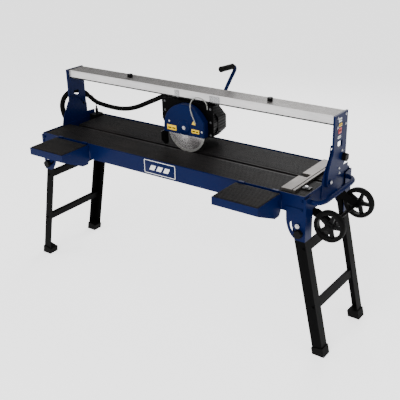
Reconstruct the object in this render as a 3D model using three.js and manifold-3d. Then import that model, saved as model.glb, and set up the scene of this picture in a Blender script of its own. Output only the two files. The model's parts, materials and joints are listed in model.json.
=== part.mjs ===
// Bridge-type wet tile saw: a water tub on two folding leg frames, a guide rail carried over
// it by two tilting uprights, and a motor-driven blade that hangs from the rail on a carriage.
// Units are millimetres. X runs along the rail, Y away from the operator, Z up.
// The origin is on the floor, under the middle of the machine.

import * as THREE from 'three';
import { mergeVertices } from 'three/addons/utils/BufferGeometryUtils.js';
import Module from 'manifold-3d';

const wasm = await Module();
wasm.setup();

// ---------------------------------------------------------------- driving dimensions

const GAP = 0.3;                 // air left between pieces that touch
const SHEET = 3;                 // steel sheet of brackets and trays

const tub = { length: 1640, width: 440, floorZ: 717, rimZ: 804, wall: 2.5 };
const ledge = { width: 9, drop: 11.5 };
const table = { topZ: 800, plate: 4, ribHeight: 2.6, ribPitch: 11, ribWidth: 7, lipDepth: 24 };
const tableEdgeGap = 5;
const slot = { centreY: -11, width: 22 };

const blade = { diameter: 230, thickness: 2.4, bore: 25.4, cutDepth: 8, planeY: -13, x: 29 };
const arbor = { flangeRadius: 30, flange: 5.5, shaftRadius: 15, nutRadius: 15, nutLength: 10 };
const guard = { radius: 130, wall: 3, frontY: -34, backY: 3, armReach: 123, armTop: 66, skirt: 8 };
const guardRise = 8;             // the guard's arc centre, above the blade's
const flapFrontY = -48;
const plate = { left: 169, right: 153, thickness: 4, frontY: 6.5, skirt: 22 };
const topPlate = { left: 139, thickness: 4, backY: 156, railGap: 8 };
const motor = { radius: 80, length: 138, coverRadius: 90, coverLength: 88 };
const handle = { x: 131, rod: 19, grip: 30, standY: 143, reachY: 98, riseZ: 95, gripLength: 104 };

const rail = { width: 104, height: 45, bottomZ: 1058, frontY: 23, wall: 3, mouth: 24 };
const railRib = { pitch: 11.5, width: 4, depth: 1.4, count: 8 };
const roller = { radius: 13, width: 12, axle: 4, spacing: 186, sideGap: 12 };
const hanger = { thickness: 8, length: 50 };

const upright = { thickness: 4, frontY: 9, backY: 135, flange: 6, topOver: 2, footRadius: 27 };
const uprightGap = 1.7;          // running gap between upright and tilt bracket
const windowCut = { frontY: 46, backY: 92, bottomZ: 947, topZ: 977 };
const tilt = { radius: 150, lockAngle: 34, travel: 45, bracket: 3.5, slotWidth: 10, pin: 7 };
const boltHead = { rim: 5, height: 6 };
const knob = { radius: 20, height: 20, stem: 4, lobes: 6 };
const railKnob = { radius: 15, height: 17, stem: 3, leftX: -410, rightX: 464 };

const floorZ = 15;               // the floor, which the last step brings to zero
const leg = { width: 52, depth: 50, wall: 3, splay: 11.8, cornerOffset: 17.5, above: 22, pin: 5 };
const legFace = 216.5;           // outer faces of the legs, from the centre plane
const pivot = { inset: 27, z: 660 };
const legBracket = { reach: 100, side: 62, topZ: 793, bottomZ: 587, standOut: 10.5 };
const legLock = { radius: 36, slotWidth: 9.5, sweep: 116 };
const brace = { height: 38, depth: 20, wall: 2, upperDrop: 116, lowerDrop: 406 };
const foot = { height: 42, wall: 4, pocketDepth: 26 };

const wheel = { radius: 75, width: 30, hubRadius: 20, standOut: 91, z: 660, y: 150, rim: 14, spokes: 5 };
const wheelArm = { thickness: 4, flange: 44, y: 123 };
const axle = { radius: 7, clearance: 0.35, overhang: 3 };
const carry = { radius: 11, z: 766, endY: 177, reach: 48, sideY: 142 };

const tray = { width: 240, depth: 192, skirt: 38, gusset: 104, sheet: 2, inset: 233, hook: 30 };
const fence = { width: 70, height: 12, inset: 132, frontY: -195, backY: 212, notch: 44 };
const fenceTab = { length: 42, width: 30, frontY: -142, height: 6 };
const fenceScrew = { radius: 9, height: 7, stem: 3 };

const pump = { width: 42, depth: 66, height: 96, inset: 32, centreY: 172 };
const switchBox = { depth: 54, width: 96, height: 76, topZ: 755 };
const rocker = { width: 26, height: 34, thickness: 11, tilt: 8 };
const conduit = { radius: 13, loopRadius: 16 };
const hose = { radius: 3 };

// ------------------------------------------------------------------- derived places

const tubHalf = tub.length / 2;
const tubSide = tub.width / 2;
const pivotX = tubHalf - pivot.inset;
const bracketFaceX = tubHalf + legBracket.standOut;
const wheelX = tubHalf + wheel.standOut;
const pumpX = pump.inset - tubHalf;
const bracketX = tubHalf + GAP;
const uprightX = bracketX + tilt.bracket + uprightGap;
const pivotTilt = { y: blade.planeY, z: tub.rimZ };
const bladeZ = table.topZ + blade.diameter / 2 - blade.cutDepth;
const railTopZ = rail.bottomZ + rail.height;
const railMidY = rail.frontY + rail.width / 2;
const topPlateZ = rail.bottomZ - topPlate.railGap;
const rollerZ = rail.bottomZ + rail.wall + GAP + roller.radius;
const splay = THREE.MathUtils.degToRad(leg.splay);
const slotFront = slot.centreY - slot.width / 2;
const slotBack = slot.centreY + slot.width / 2;

// ------------------------------------------------------------------------ materials

const paint = (color, roughness, metalness) =>
  new THREE.MeshStandardMaterial({ color, roughness, metalness });
const BLUE = () => paint(0x12357c, 0.35, 0.3);
const BLACK_STEEL = () => paint(0x141416, 0.45, 0.3);
const BLACK_PLASTIC = () => paint(0x18181a, 0.55, 0.0);
const RUBBER = () => paint(0x101010, 0.85, 0.0);
const ALUMINIUM = () => paint(0xb9b4b0, 0.35, 0.9);
const BRIGHT_STEEL = () => paint(0xc4c4c8, 0.25, 1.0);
const CLEAR = () => paint(0xd8dee2, 0.15, 0.0);

// ------------------------------------------------------------------ shaping helpers

const outline = (points) => new THREE.Shape(points.map(([a, b]) => new THREE.Vector2(a, b)));

function rectangle(a0, b0, a1, b1) {
  return outline([[a0, b0], [a1, b0], [a1, b1], [a0, b1]]);
}

function disc(a, b, radius) {
  const shape = new THREE.Shape();
  shape.absarc(a, b, radius, 0, 2 * Math.PI, false);
  return shape;
}

// A slot of round ends that follows an arc about (a, b).
function arcSlot(a, b, radius, width, from, to) {
  const start = THREE.MathUtils.degToRad(Math.min(from, to));
  const end = THREE.MathUtils.degToRad(Math.max(from, to));
  const half = width / 2;
  const path = new THREE.Path();
  path.absarc(a, b, radius + half, start, end, false);
  path.absarc(a + radius * Math.cos(end), b + radius * Math.sin(end), half, end, end + Math.PI);
  path.absarc(a, b, radius - half, end, start, true);
  const turn = start + Math.PI;
  path.absarc(a + radius * Math.cos(start), b + radius * Math.sin(start), half, turn, turn + Math.PI);
  return path;
}

function extrude(shape, depth, curveSegments) {
  return new THREE.ExtrudeGeometry(shape, { depth, bevelEnabled: false, curveSegments });
}

// Each prism takes an outline in the two other axes: X from (y, z), Y from (x, z), Z from (x, y).
function prismX(shape, x0, x1, curveSegments = 12) {
  const geometry = extrude(shape, x1 - x0, curveSegments);
  const turn = new THREE.Matrix4().set(0, 0, 1, x0, 1, 0, 0, 0, 0, 1, 0, 0, 0, 0, 0, 1);
  return geometry.applyMatrix4(turn);
}

function prismY(shape, y0, y1, curveSegments = 12) {
  const geometry = extrude(shape, y1 - y0, curveSegments);
  const turn = new THREE.Matrix4().set(1, 0, 0, 0, 0, 0, -1, y1, 0, 1, 0, 0, 0, 0, 0, 1);
  return geometry.applyMatrix4(turn);
}

function prismZ(shape, z0, z1, curveSegments = 12) {
  return extrude(shape, z1 - z0, curveSegments).translate(0, 0, z0);
}

const block = (x0, y0, z0, x1, y1, z1) => prismZ(rectangle(x0, y0, x1, y1), z0, z1);

// A solid of revolution about Z from [radius, z] points that start and end on the axis.
function turned(profile, sides = 32) {
  const points = profile.map(([r, z]) => new THREE.Vector2(r, z));
  return new THREE.LatheGeometry(points, sides).rotateX(Math.PI / 2);
}

// Turns a shape made along +Z so that it points along another axis.
const alongPlusX = (geometry) => geometry.rotateY(Math.PI / 2);
const alongMinusX = (geometry) => geometry.rotateY(-Math.PI / 2);
const alongMinusY = (geometry) => geometry.rotateX(Math.PI / 2);
const alongPlusY = (geometry) => geometry.rotateX(-Math.PI / 2);

function solid(geometry) {
  const bare = geometry.clone();
  bare.deleteAttribute('normal');
  bare.deleteAttribute('uv');
  const merged = mergeVertices(bare, 1e-3);
  const vertProperties = new Float32Array(merged.attributes.position.array);
  const triVerts = new Uint32Array(merged.index.array);
  return new wasm.Manifold(new wasm.Mesh({ numProp: 3, vertProperties, triVerts }));
}

function surface(manifold) {
  const { numProp, vertProperties, triVerts } = manifold.getMesh();
  const positions = new Float32Array((vertProperties.length / numProp) * 3);
  for (let i = 0; i < positions.length / 3; i += 1) {
    for (let k = 0; k < 3; k += 1) positions[3 * i + k] = vertProperties[numProp * i + k];
  }
  const geometry = new THREE.BufferGeometry();
  geometry.setAttribute('position', new THREE.BufferAttribute(positions, 3));
  geometry.setIndex(new THREE.BufferAttribute(new Uint32Array(triVerts), 1));
  geometry.computeVertexNormals();
  return geometry;
}

const join = (first, ...rest) => surface(rest.reduce((sum, g) => sum.add(solid(g)), solid(first)));
const cut = (first, ...rest) =>
  surface(rest.reduce((sum, g) => sum.subtract(solid(g)), solid(first)));

// A mirror copy across the plane where the named axis is zero, with its faces still outward.
function mirrored(geometry, axis) {
  const copy = geometry.index ? geometry.toNonIndexed() : geometry.clone();
  copy.deleteAttribute('normal');
  copy.deleteAttribute('uv');
  const scale = { x: [-1, 1, 1], y: [1, -1, 1] }[axis];
  copy.scale(...scale);
  const array = copy.attributes.position.array;
  for (let i = 0; i < array.length; i += 9) {
    for (let k = 0; k < 3; k += 1) {
      [array[i + 3 + k], array[i + 6 + k]] = [array[i + 6 + k], array[i + 3 + k]];
    }
  }
  const merged = mergeVertices(copy, 1e-4);
  merged.computeVertexNormals();
  return merged;
}

const sided = (geometry, right) => (right ? geometry : mirrored(geometry, 'x'));

function pipe(points, radius, sides, steps, tension = 0.5) {
  const curve = new THREE.CatmullRomCurve3(
    points.map((p) => new THREE.Vector3(...p)), false, 'catmullrom', tension);
  const ring = [];
  for (let i = 0; i < sides; i += 1) {
    const angle = (2 * Math.PI * i) / sides;
    ring.push([radius * Math.cos(angle), radius * Math.sin(angle)]);
  }
  return new THREE.ExtrudeGeometry(outline(ring), { steps, extrudePath: curve });
}

// ------------------------------------------------------------------------- the scene

const machine = new THREE.Group();

function place(name, geometry, material, parent = machine) {
  const mesh = new THREE.Mesh(geometry, material);
  mesh.name = name;
  parent.add(mesh);
  return mesh;
}

// ------------------------------------------------------------------- tub and table

function waterTub() {
  const shell = cut(
    block(-tubHalf, -tubSide, tub.floorZ, tubHalf, tubSide, tub.rimZ),
    block(-tubHalf + tub.wall, -tubSide + tub.wall, tub.floorZ + tub.wall,
      tubHalf - tub.wall, tubSide - tub.wall, tub.rimZ + 1));
  const inner = tubSide - tub.wall;
  const ledgeTop = tub.rimZ - ledge.drop;
  const ledges = [-1, 1].map((side) => {
    const near = side * (inner + 1);
    const far = side * (inner - ledge.width);
    return block(-tubHalf + 1, Math.min(near, far), ledgeTop - tub.wall,
      tubHalf - 1, Math.max(near, far), ledgeTop);
  });
  return join(shell, ...ledges);
}

// A panel of ribbed extrusion, from its outer edge to its lip beside the cutting slot.
function tableOutline(outerY, slotY) {
  const inward = Math.sign(slotY - outerY);
  const bottomZ = table.topZ - table.ribHeight - table.plate;
  const floorZ = table.topZ - table.ribHeight;
  const points = [[outerY, bottomZ], [outerY, floorZ]];
  const span = Math.abs(slotY - outerY);
  const count = Math.floor((span - table.ribPitch) / table.ribPitch);
  const margin = (span - count * table.ribPitch) / 2;
  for (let i = 0; i < count; i += 1) {
    const start = outerY + inward * (margin + i * table.ribPitch);
    const end = start + inward * table.ribWidth;
    points.push([start, floorZ], [start + inward, table.topZ]);
    points.push([end - inward, table.topZ], [end, floorZ]);
  }
  points.push([slotY, floorZ], [slotY, bottomZ - table.lipDepth]);
  points.push([slotY - inward * table.plate, bottomZ - table.lipDepth]);
  points.push([slotY - inward * table.plate, bottomZ]);
  return outline(points);
}

function tablePanel(outerY, slotY, leftX, rightX) {
  return prismX(tableOutline(outerY, slotY), leftX, rightX);
}

function drainPump() {
  const x = pump.width / 2;
  const y = pump.depth / 2;
  const floor = tub.floorZ + tub.wall + GAP;
  const body = block(-x, -y, floor, x, y, floor + pump.height);
  const neck = turned([[0, 0], [9, 0], [9, 28], [5, 30], [5, 44], [0, 44]], 20);
  neck.translate(0, 6, floor + pump.height - 1);
  return join(body, neck).translate(pumpX, pump.centreY, 0);
}

function addTub() {
  const outer = tubSide - tub.wall - tableEdgeGap / 2;
  const end = tubHalf - tub.wall - tableEdgeGap;
  const pumpEdge = pumpX + pump.width / 2 + tableEdgeGap;
  place('water_tub', waterTub(), BLUE());
  place('table_front', tablePanel(-outer, slotFront, -end, end), BLACK_STEEL());
  place('table_rear', tablePanel(outer, slotBack, pumpEdge, end), BLACK_STEEL());
  place('pump', drainPump(), BLACK_PLASTIC());
}

// ------------------------------------------------------------------- tilt brackets

function tiltBracket() {
  const top = tilt.radius + 17;
  const centre = [pivotTilt.y, pivotTilt.z];
  const shape = new THREE.Shape();
  shape.moveTo(-68, 736);
  shape.lineTo(152, 736);
  shape.lineTo(156, 796);
  shape.lineTo(192, 796);
  shape.lineTo(192, 832);
  shape.lineTo(133, 836);
  const arcStart = THREE.MathUtils.degToRad(tilt.lockAngle - 6);
  const arcEnd = THREE.MathUtils.degToRad(tilt.lockAngle + tilt.travel + 5);
  shape.absarc(...centre, top, arcStart, arcEnd, false);
  shape.lineTo(-2, 934);
  shape.quadraticCurveTo(-12, 900, -36, 878);
  shape.lineTo(-58, 840);
  shape.lineTo(-68, 800);
  shape.closePath();
  const from = tilt.lockAngle - 2;
  const to = tilt.lockAngle + tilt.travel + 2;
  shape.holes.push(arcSlot(...centre, tilt.radius, tilt.slotWidth, from, to));
  shape.holes.push(disc(...centre, tilt.pin + GAP));
  return prismX(shape, bracketX, bracketX + tilt.bracket, 10);
}

function uprightPlate() {
  const topZ = railTopZ + upright.topOver;
  const shape = new THREE.Shape();
  shape.moveTo(upright.frontY, topZ);
  shape.lineTo(upright.frontY, 930);
  shape.quadraticCurveTo(-18, 896, -36, 842);
  const sweep = [THREE.MathUtils.degToRad(165), THREE.MathUtils.degToRad(300)];
  shape.absarc(pivotTilt.y, pivotTilt.z, upright.footRadius, ...sweep, false);
  shape.lineTo(96, 832);
  shape.lineTo(upright.backY, 862);
  shape.lineTo(upright.backY, topZ);
  shape.closePath();
  const { frontY, backY, bottomZ, topZ: windowTop } = windowCut;
  shape.holes.push(rectangle(frontY, bottomZ, backY, windowTop));
  const lock = THREE.MathUtils.degToRad(tilt.lockAngle);
  const knobY = pivotTilt.y + tilt.radius * Math.cos(lock);
  const knobZ = pivotTilt.z + tilt.radius * Math.sin(lock);
  shape.holes.push(disc(knobY, knobZ, knob.stem + GAP));
  const outside = uprightX + upright.thickness + upright.flange;
  const rim = SHEET;
  const body = prismX(shape, uprightX, outside, 8);
  const hollow = outline([
    [upright.frontY + rim, topZ - rim], [upright.frontY + rim, 929], [-14, 895], [-31, 842],
    [16, 824], [94, 836], [upright.backY - rim, 864], [upright.backY - rim, topZ - rim]]);
  const cavity = prismX(hollow, uprightX + upright.thickness, outside - rim, 8);
  const pin = prismX(disc(pivotTilt.y, pivotTilt.z, tilt.pin), bracketX + GAP, outside, 8);
  const head = prismX(disc(pivotTilt.y, pivotTilt.z, tilt.pin + boltHead.rim),
    outside - 1, outside + boltHead.height, 6);
  return join(cut(body, cavity), pin, head);
}

// A lobed clamping knob: its stem points along +Z and its head stands at the far end.
function starKnob(size, stemLength) {
  const shape = new THREE.Shape();
  const steps = size.lobes * 6;
  for (let i = 0; i < steps; i += 1) {
    const angle = (2 * Math.PI * i) / steps;
    const reach = size.radius * (0.93 + 0.07 * Math.cos(size.lobes * angle));
    const point = [reach * Math.cos(angle), reach * Math.sin(angle)];
    if (i === 0) shape.moveTo(...point);
    else shape.lineTo(...point);
  }
  shape.closePath();
  const head = prismZ(shape, stemLength, stemLength + size.height);
  const stem = turned([[0, 0], [size.stem, 0], [size.stem, stemLength + 2], [0, stemLength + 2]], 16);
  return join(head, stem);
}

function addUprights() {
  const lock = THREE.MathUtils.degToRad(tilt.lockAngle);
  const knobY = pivotTilt.y + tilt.radius * Math.cos(lock);
  const knobZ = pivotTilt.z + tilt.radius * Math.sin(lock);
  const stemStart = tubHalf - 3;
  const stemLength = uprightX + upright.thickness + upright.flange + GAP - stemStart;
  for (const right of [true, false]) {
    const end = right ? 'right' : 'left';
    place(`tilt_bracket_${end}`, sided(tiltBracket(), right), BLUE());
    place(`upright_${end}`, sided(uprightPlate(), right), BLUE());
    const clamp = alongPlusX(starKnob(knob, stemLength)).translate(stemStart, knobY, knobZ);
    place(`tilt_knob_${end}`, sided(clamp, right), BLACK_PLASTIC());
  }
}

// ----------------------------------------------------------------------- guide rail

function railOutline() {
  const { frontY, width, bottomZ, wall, mouth } = rail;
  const backY = frontY + width;
  const half = mouth / 2;
  const points = [
    [railMidY - half, bottomZ], [railMidY - half, bottomZ + wall],
    [frontY + wall, bottomZ + wall], [frontY + wall, railTopZ - wall],
    [backY - wall, railTopZ - wall], [backY - wall, bottomZ + wall],
    [railMidY + half, bottomZ + wall], [railMidY + half, bottomZ],
    [backY, bottomZ], [backY, railTopZ]];
  const first = railMidY + ((railRib.count - 1) * railRib.pitch) / 2;
  for (let i = 0; i < railRib.count; i += 1) {
    const centre = first - i * railRib.pitch;
    points.push([centre + railRib.width / 2, railTopZ]);
    points.push([centre + railRib.width / 2, railTopZ - railRib.depth]);
    points.push([centre - railRib.width / 2, railTopZ - railRib.depth]);
    points.push([centre - railRib.width / 2, railTopZ]);
  }
  points.push([frontY, railTopZ], [frontY, bottomZ]);
  return outline(points);
}

function addRail() {
  const half = uprightX - GAP;
  const holes = [railKnob.leftX, railKnob.rightX].map((x) =>
    prismZ(disc(x, railMidY, railKnob.stem + GAP), railTopZ - 2 * rail.wall, railTopZ + 1, 6));
  place('guide_rail', cut(prismX(railOutline(), -half, half), ...holes), ALUMINIUM());
  const stemLength = rail.wall + 3 + GAP;
  const size = { ...railKnob, lobes: knob.lobes };
  for (const [end, x] of [['left', railKnob.leftX], ['right', railKnob.rightX]]) {
    const screw = starKnob(size, stemLength).translate(x, railMidY, railTopZ - rail.wall - 3);
    place(`rail_knob_${end}`, screw, BLACK_PLASTIC());
  }
}

// ------------------------------------------------------------------------- carriage

function carriageFrame() {
  const x0 = blade.x - plate.left;
  const x1 = blade.x + plate.right;
  const backY = plate.frontY + plate.thickness;
  const face = new THREE.Shape();
  face.moveTo(x0, (bladeZ - plate.skirt) + 55);
  face.lineTo(x0 + 30, (bladeZ - plate.skirt));
  face.lineTo(x1, (bladeZ - plate.skirt));
  face.lineTo(x1, topPlateZ);
  face.lineTo(x0, topPlateZ);
  face.closePath();
  face.holes.push(disc(blade.x, bladeZ, arbor.shaftRadius + 6));
  const front = prismY(face, plate.frontY, backY, 8);
  const top = block(blade.x - topPlate.left, plate.frontY, topPlateZ - topPlate.thickness,
    x1, topPlate.backY, topPlateZ);
  const socket = block(blade.x - topPlate.left - 40, railMidY - 19, topPlateZ - 38,
    blade.x - topPlate.left + 20, railMidY + 19, topPlateZ - 1);
  const webs = [-1, 1].map((side) => {
    const x = blade.x + (side * roller.spacing) / 2;
    const y = hanger.thickness / 2;
    const web = block(x - hanger.length / 2, railMidY - y, topPlateZ - 1,
      x + hanger.length / 2, railMidY + y, rollerZ + roller.axle + 6);
    const bore = prismY(disc(x, rollerZ, roller.axle + GAP), railMidY - y - 1, railMidY + y + 1, 8);
    return cut(web, bore);
  });
  return join(front, top, socket, ...webs);
}

// Two rollers fixed on one axle, which turns in the hanger.
function rollerSet(x) {
  const inner = hanger.thickness / 2 + roller.sideGap;
  const outer = inner + roller.width;
  const profile = [
    [0, -outer], [roller.radius, -outer], [roller.radius, -inner], [roller.axle, -inner],
    [roller.axle, inner], [roller.radius, inner], [roller.radius, outer], [0, outer]];
  return alongMinusY(turned(profile, 24)).translate(x, railMidY, rollerZ);
}

function guardOutline(inset) {
  const radius = guard.radius - inset;
  const bottom = inset > 0 ? bladeZ - guard.skirt - 30 : bladeZ - guard.skirt;
  const shape = new THREE.Shape();
  const armEnd = blade.x + guard.armReach - inset;
  const armTop = bladeZ + guard.armTop - inset;
  const centreZ = bladeZ + guardRise;
  const meet = Math.asin((armTop - centreZ) / radius);
  shape.moveTo(blade.x - radius, bottom);
  shape.lineTo(armEnd, bottom);
  shape.lineTo(armEnd, armTop);
  shape.absarc(blade.x, centreZ, radius, meet, Math.PI, false);
  shape.closePath();
  return shape;
}

function bladeGuard() {
  const { frontY, backY, wall } = guard;
  const shell = prismY(guardOutline(0), frontY, backY, 28);
  const cavity = prismY(guardOutline(wall), frontY + wall, backY - wall, 28);
  const bore = prismY(disc(blade.x, bladeZ, arbor.flangeRadius + 4), backY - wall - 1, backY + 1, 12);
  const boss = turned([[0, 0], [38, 0], [34, 7], [0, 7]], 28);
  alongMinusY(boss).translate(blade.x, frontY + 1, bladeZ + 20);
  return join(cut(shell, cavity, bore), boss);
}

function arborSpindle() {
  const half = blade.thickness / 2 + GAP;
  const neck = blade.bore / 2 - GAP;
  const front = -half - arbor.flange;
  const back = plate.frontY + plate.thickness + 6 - blade.planeY;
  const profile = [
    [0, front - arbor.nutLength], [arbor.nutRadius, front - arbor.nutLength],
    [arbor.nutRadius, front], [arbor.flangeRadius, front], [arbor.flangeRadius, -half],
    [neck, -half], [neck, half], [arbor.flangeRadius, half], [arbor.flangeRadius, half + 3],
    [arbor.shaftRadius, half + 5], [arbor.shaftRadius, back], [0, back]];
  return alongPlusY(turned(profile, 28)).translate(blade.x, blade.planeY, bladeZ);
}

function bladeDisc() {
  const shape = disc(blade.x, bladeZ, blade.diameter / 2);
  shape.holes.push(disc(blade.x, bladeZ, blade.bore / 2));
  const half = blade.thickness / 2;
  return prismY(shape, blade.planeY - half, blade.planeY + half, 24);
}

function motorHousing() {
  const start = plate.frontY + plate.thickness + GAP;
  const pocket = arbor.shaftRadius + 4;
  const profile = [
    [pocket, 0], [motor.radius - 14, 0], [motor.radius, 12], [motor.radius, motor.length],
    [0, motor.length], [0, 10], [pocket, 10], [pocket, 0]];
  return alongPlusY(turned(profile, 40)).translate(blade.x, start, bladeZ);
}

function motorCover() {
  const start = plate.frontY + plate.thickness + 2 * GAP + motor.length;
  const profile = [
    [0, 0], [motor.coverRadius, 0], [motor.coverRadius, motor.coverLength - 16],
    [motor.coverRadius - 16, motor.coverLength], [0, motor.coverLength]];
  return alongPlusY(turned(profile, 8).rotateZ(Math.PI / 8)).translate(blade.x, start, bladeZ);
}

function splashFlap() {
  const x = blade.x - guard.radius - 5;
  const clear = table.topZ + 8;
  const back = plate.frontY - GAP;
  const shape = outline([
    [flapFrontY, 886], [flapFrontY, clear - 4 - flapFrontY + blade.planeY], [blade.planeY - 4, clear],
    [back, clear], [back, 886]]);
  return prismX(shape, x - 4, x);
}

function handleRod() {
  const x = blade.x + handle.x;
  const y = handle.standY;
  const z = topPlateZ + GAP;
  const bendY = y + handle.reachY;
  const bendZ = z + 42 + handle.riseZ;
  return pipe([
    [x, y, z], [x, y, z + 18], [x, y + 4, z + 42], [x, y + 0.5 * handle.reachY, z + 90],
    [x, bendY - 16, bendZ - 16], [x, bendY - 6, bendZ - 2], [x, bendY - 12, bendZ + 10],
    [x, bendY - 26, bendZ + 14]],
  handle.rod / 2, 12, 34);
}

function handleGrip() {
  const x = blade.x + handle.x;
  const start = handle.standY + handle.reachY - 29;
  const z = topPlateZ + GAP + 42 + handle.riseZ + 14;
  const r = handle.grip / 2;
  const end = handle.gripLength;
  const profile = [[0, 0], [r - 3, 0], [r, 3], [r, end - 4], [r - 4, end], [0, end]];
  return alongMinusY(turned(profile, 20)).rotateX(-0.07).translate(x, start, z);
}

function addCarriage() {
  place('carriage_frame', carriageFrame(), BLACK_STEEL());
  for (const [end, side] of [['left', -1], ['right', 1]]) {
    const x = blade.x + (side * roller.spacing) / 2;
    place(`roller_set_${end}`, rollerSet(x), BLACK_PLASTIC());
  }
  place('motor_housing', motorHousing(), BLACK_PLASTIC());
  place('motor_cover', motorCover(), BLACK_PLASTIC());
  place('arbor', arborSpindle(), BRIGHT_STEEL());
  place('saw_blade', bladeDisc(), BRIGHT_STEEL());
  place('blade_guard', bladeGuard(), BLUE());
  place('splash_flap', splashFlap(), RUBBER());
  place('handle_rod', handleRod(), BLUE());
  place('handle_grip', handleGrip(), RUBBER());
}

// ------------------------------------------------------------------------ leg frames

// Everything here is drawn about the fold pivot of the right end, with the leg upright.
const cornerX = leg.cornerOffset;
const pivotHeight = pivot.z - floorZ;
const legEndZ = -(pivotHeight - Math.sin(splay) * (leg.width - cornerX)) / Math.cos(splay) + 9;

function angleSection(grow) {
  const x1 = cornerX + grow;
  const x0 = cornerX - leg.width - grow;
  const y0 = -legFace - grow;
  const y1 = -legFace + leg.depth + grow;
  const inX = cornerX - leg.wall - grow;
  const inY = -legFace + leg.wall + grow;
  return outline([[x0, y0], [x1, y0], [x1, y1], [inX, y1], [inX, inY], [x0, inY]]);
}

function legAngle() {
  const bar = prismZ(angleSection(0), legEndZ, leg.above);
  const bore = prismY(disc(0, -legLock.radius, knob.stem + GAP), -legFace - 1,
    -legFace + leg.wall + 1, 8);
  const outside = -tubSide - SHEET - 2 * GAP;
  const pin = prismY(disc(0, 0, leg.pin), outside - 1, -legFace + 1, 8);
  const head = prismY(disc(0, 0, leg.pin + boltHead.rim), outside - boltHead.height, outside, 6);
  return join(cut(bar, bore), pin, head);
}

function rubberFoot() {
  const { wall, height, pocketDepth } = foot;
  const pocket = prismZ(angleSection(GAP), legEndZ - GAP, legEndZ + pocketDepth + height);
  const boot = block(cornerX - leg.width - wall, -legFace - wall, legEndZ - height,
    cornerX + wall, -legFace + leg.depth + wall, legEndZ + pocketDepth);
  const floor = block(-400, -400, -200, 400, 0, 0).rotateY(splay);
  floor.translate(-pivotHeight * Math.sin(splay), 0, -pivotHeight * Math.cos(splay));
  return cut(boot, pocket, floor);
}

function legBrace(drop) {
  const outerX = cornerX - leg.wall - GAP;
  const ring = rectangle(outerX - brace.depth, -drop - brace.height / 2,
    outerX, -drop + brace.height / 2);
  ring.holes.push(rectangle(outerX - brace.depth + brace.wall, -drop - brace.height / 2 + brace.wall,
    outerX - brace.wall, -drop + brace.height / 2 - brace.wall));
  const end = legFace - leg.wall - GAP;
  return prismY(ring, -end, end);
}

// The clamp passes through the bracket's arc slot and the leg, with its head outside.
function legKnob() {
  const stemStart = legFace - leg.wall - 6;
  const headY = tubSide + SHEET + 2 * GAP;
  return alongMinusY(starKnob(knob, headY - stemStart)).translate(0, -stemStart, -legLock.radius);
}

function addLegFrames() {
  for (const right of [true, false]) {
    const end = right ? 'right' : 'left';
    const frame = new THREE.Group();
    frame.position.set(right ? pivotX : -pivotX, 0, pivot.z);
    frame.rotation.y = right ? -splay : splay;
    machine.add(frame);
    for (const side of ['front', 'rear']) {
      const turn = (geometry) => sided(side === 'front' ? geometry : mirrored(geometry, 'y'), right);
      place(`leg_${side}_${end}`, turn(legAngle()), BLACK_STEEL(), frame);
      place(`foot_${side}_${end}`, turn(rubberFoot()), RUBBER(), frame);
      place(`leg_knob_${side}_${end}`, turn(legKnob()), BLACK_PLASTIC(), frame);
    }
    place(`brace_upper_${end}`, sided(legBrace(brace.upperDrop), right), BLACK_STEEL(), frame);
    place(`brace_lower_${end}`, sided(legBrace(brace.lowerDrop), right), BLACK_STEEL(), frame);
  }
}

function legBracketCorner() {
  const outerY = -tubSide - GAP - SHEET;
  const innerX = bracketFaceX - legBracket.reach;
  const { topZ, bottomZ } = legBracket;
  const faceX = bracketFaceX;
  const face = new THREE.Shape();
  face.moveTo(innerX, tub.floorZ + 26);
  face.lineTo(innerX + 2, tub.floorZ - 40);
  face.quadraticCurveTo(innerX + 10, bottomZ + 26, innerX + 54, bottomZ);
  face.lineTo(faceX, bottomZ);
  face.lineTo(faceX, topZ);
  face.lineTo(faceX - 14, topZ);
  face.lineTo(faceX - 14, tub.floorZ + 26);
  face.closePath();
  const start = -90 + leg.splay;
  face.holes.push(arcSlot(pivotX, pivot.z, legLock.radius, legLock.slotWidth,
    start + 2, start - legLock.sweep));
  face.holes.push(disc(pivotX, pivot.z, leg.pin + GAP));
  const front = prismY(face, outerY, outerY + SHEET, 10);
  const side = block(faceX - SHEET, outerY, bottomZ, faceX, outerY + legBracket.side, topZ);
  return join(front, side);
}

function addLegBrackets() {
  for (const right of [true, false]) {
    for (const side of ['front', 'rear']) {
      const corner = legBracketCorner();
      const faced = side === 'front' ? corner : mirrored(corner, 'y');
      const name = `leg_bracket_${side}_${right ? 'right' : 'left'}`;
      place(name, sided(faced, right), BLUE());
    }
  }
}

// ------------------------------------------------------------------- transport wheels

function transportWheel() {
  const shape = disc(0, 0, wheel.radius);
  shape.holes.push(disc(0, 0, axle.radius + axle.clearance));
  const inner = wheel.hubRadius + 4;
  const outer = wheel.radius - wheel.rim;
  const half = Math.PI / wheel.spokes;
  for (let i = 0; i < wheel.spokes; i += 1) {
    const mid = 2 * half * i + Math.PI / 2;
    const hole = new THREE.Path();
    hole.absarc(0, 0, outer, mid - half + 0.2, mid + half - 0.2, false);
    hole.absarc(0, 0, inner, mid + half - 0.36, mid - half + 0.36, true);
    shape.holes.push(hole);
  }
  return prismY(shape, -wheel.width / 2, wheel.width / 2, 9);
}

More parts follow.
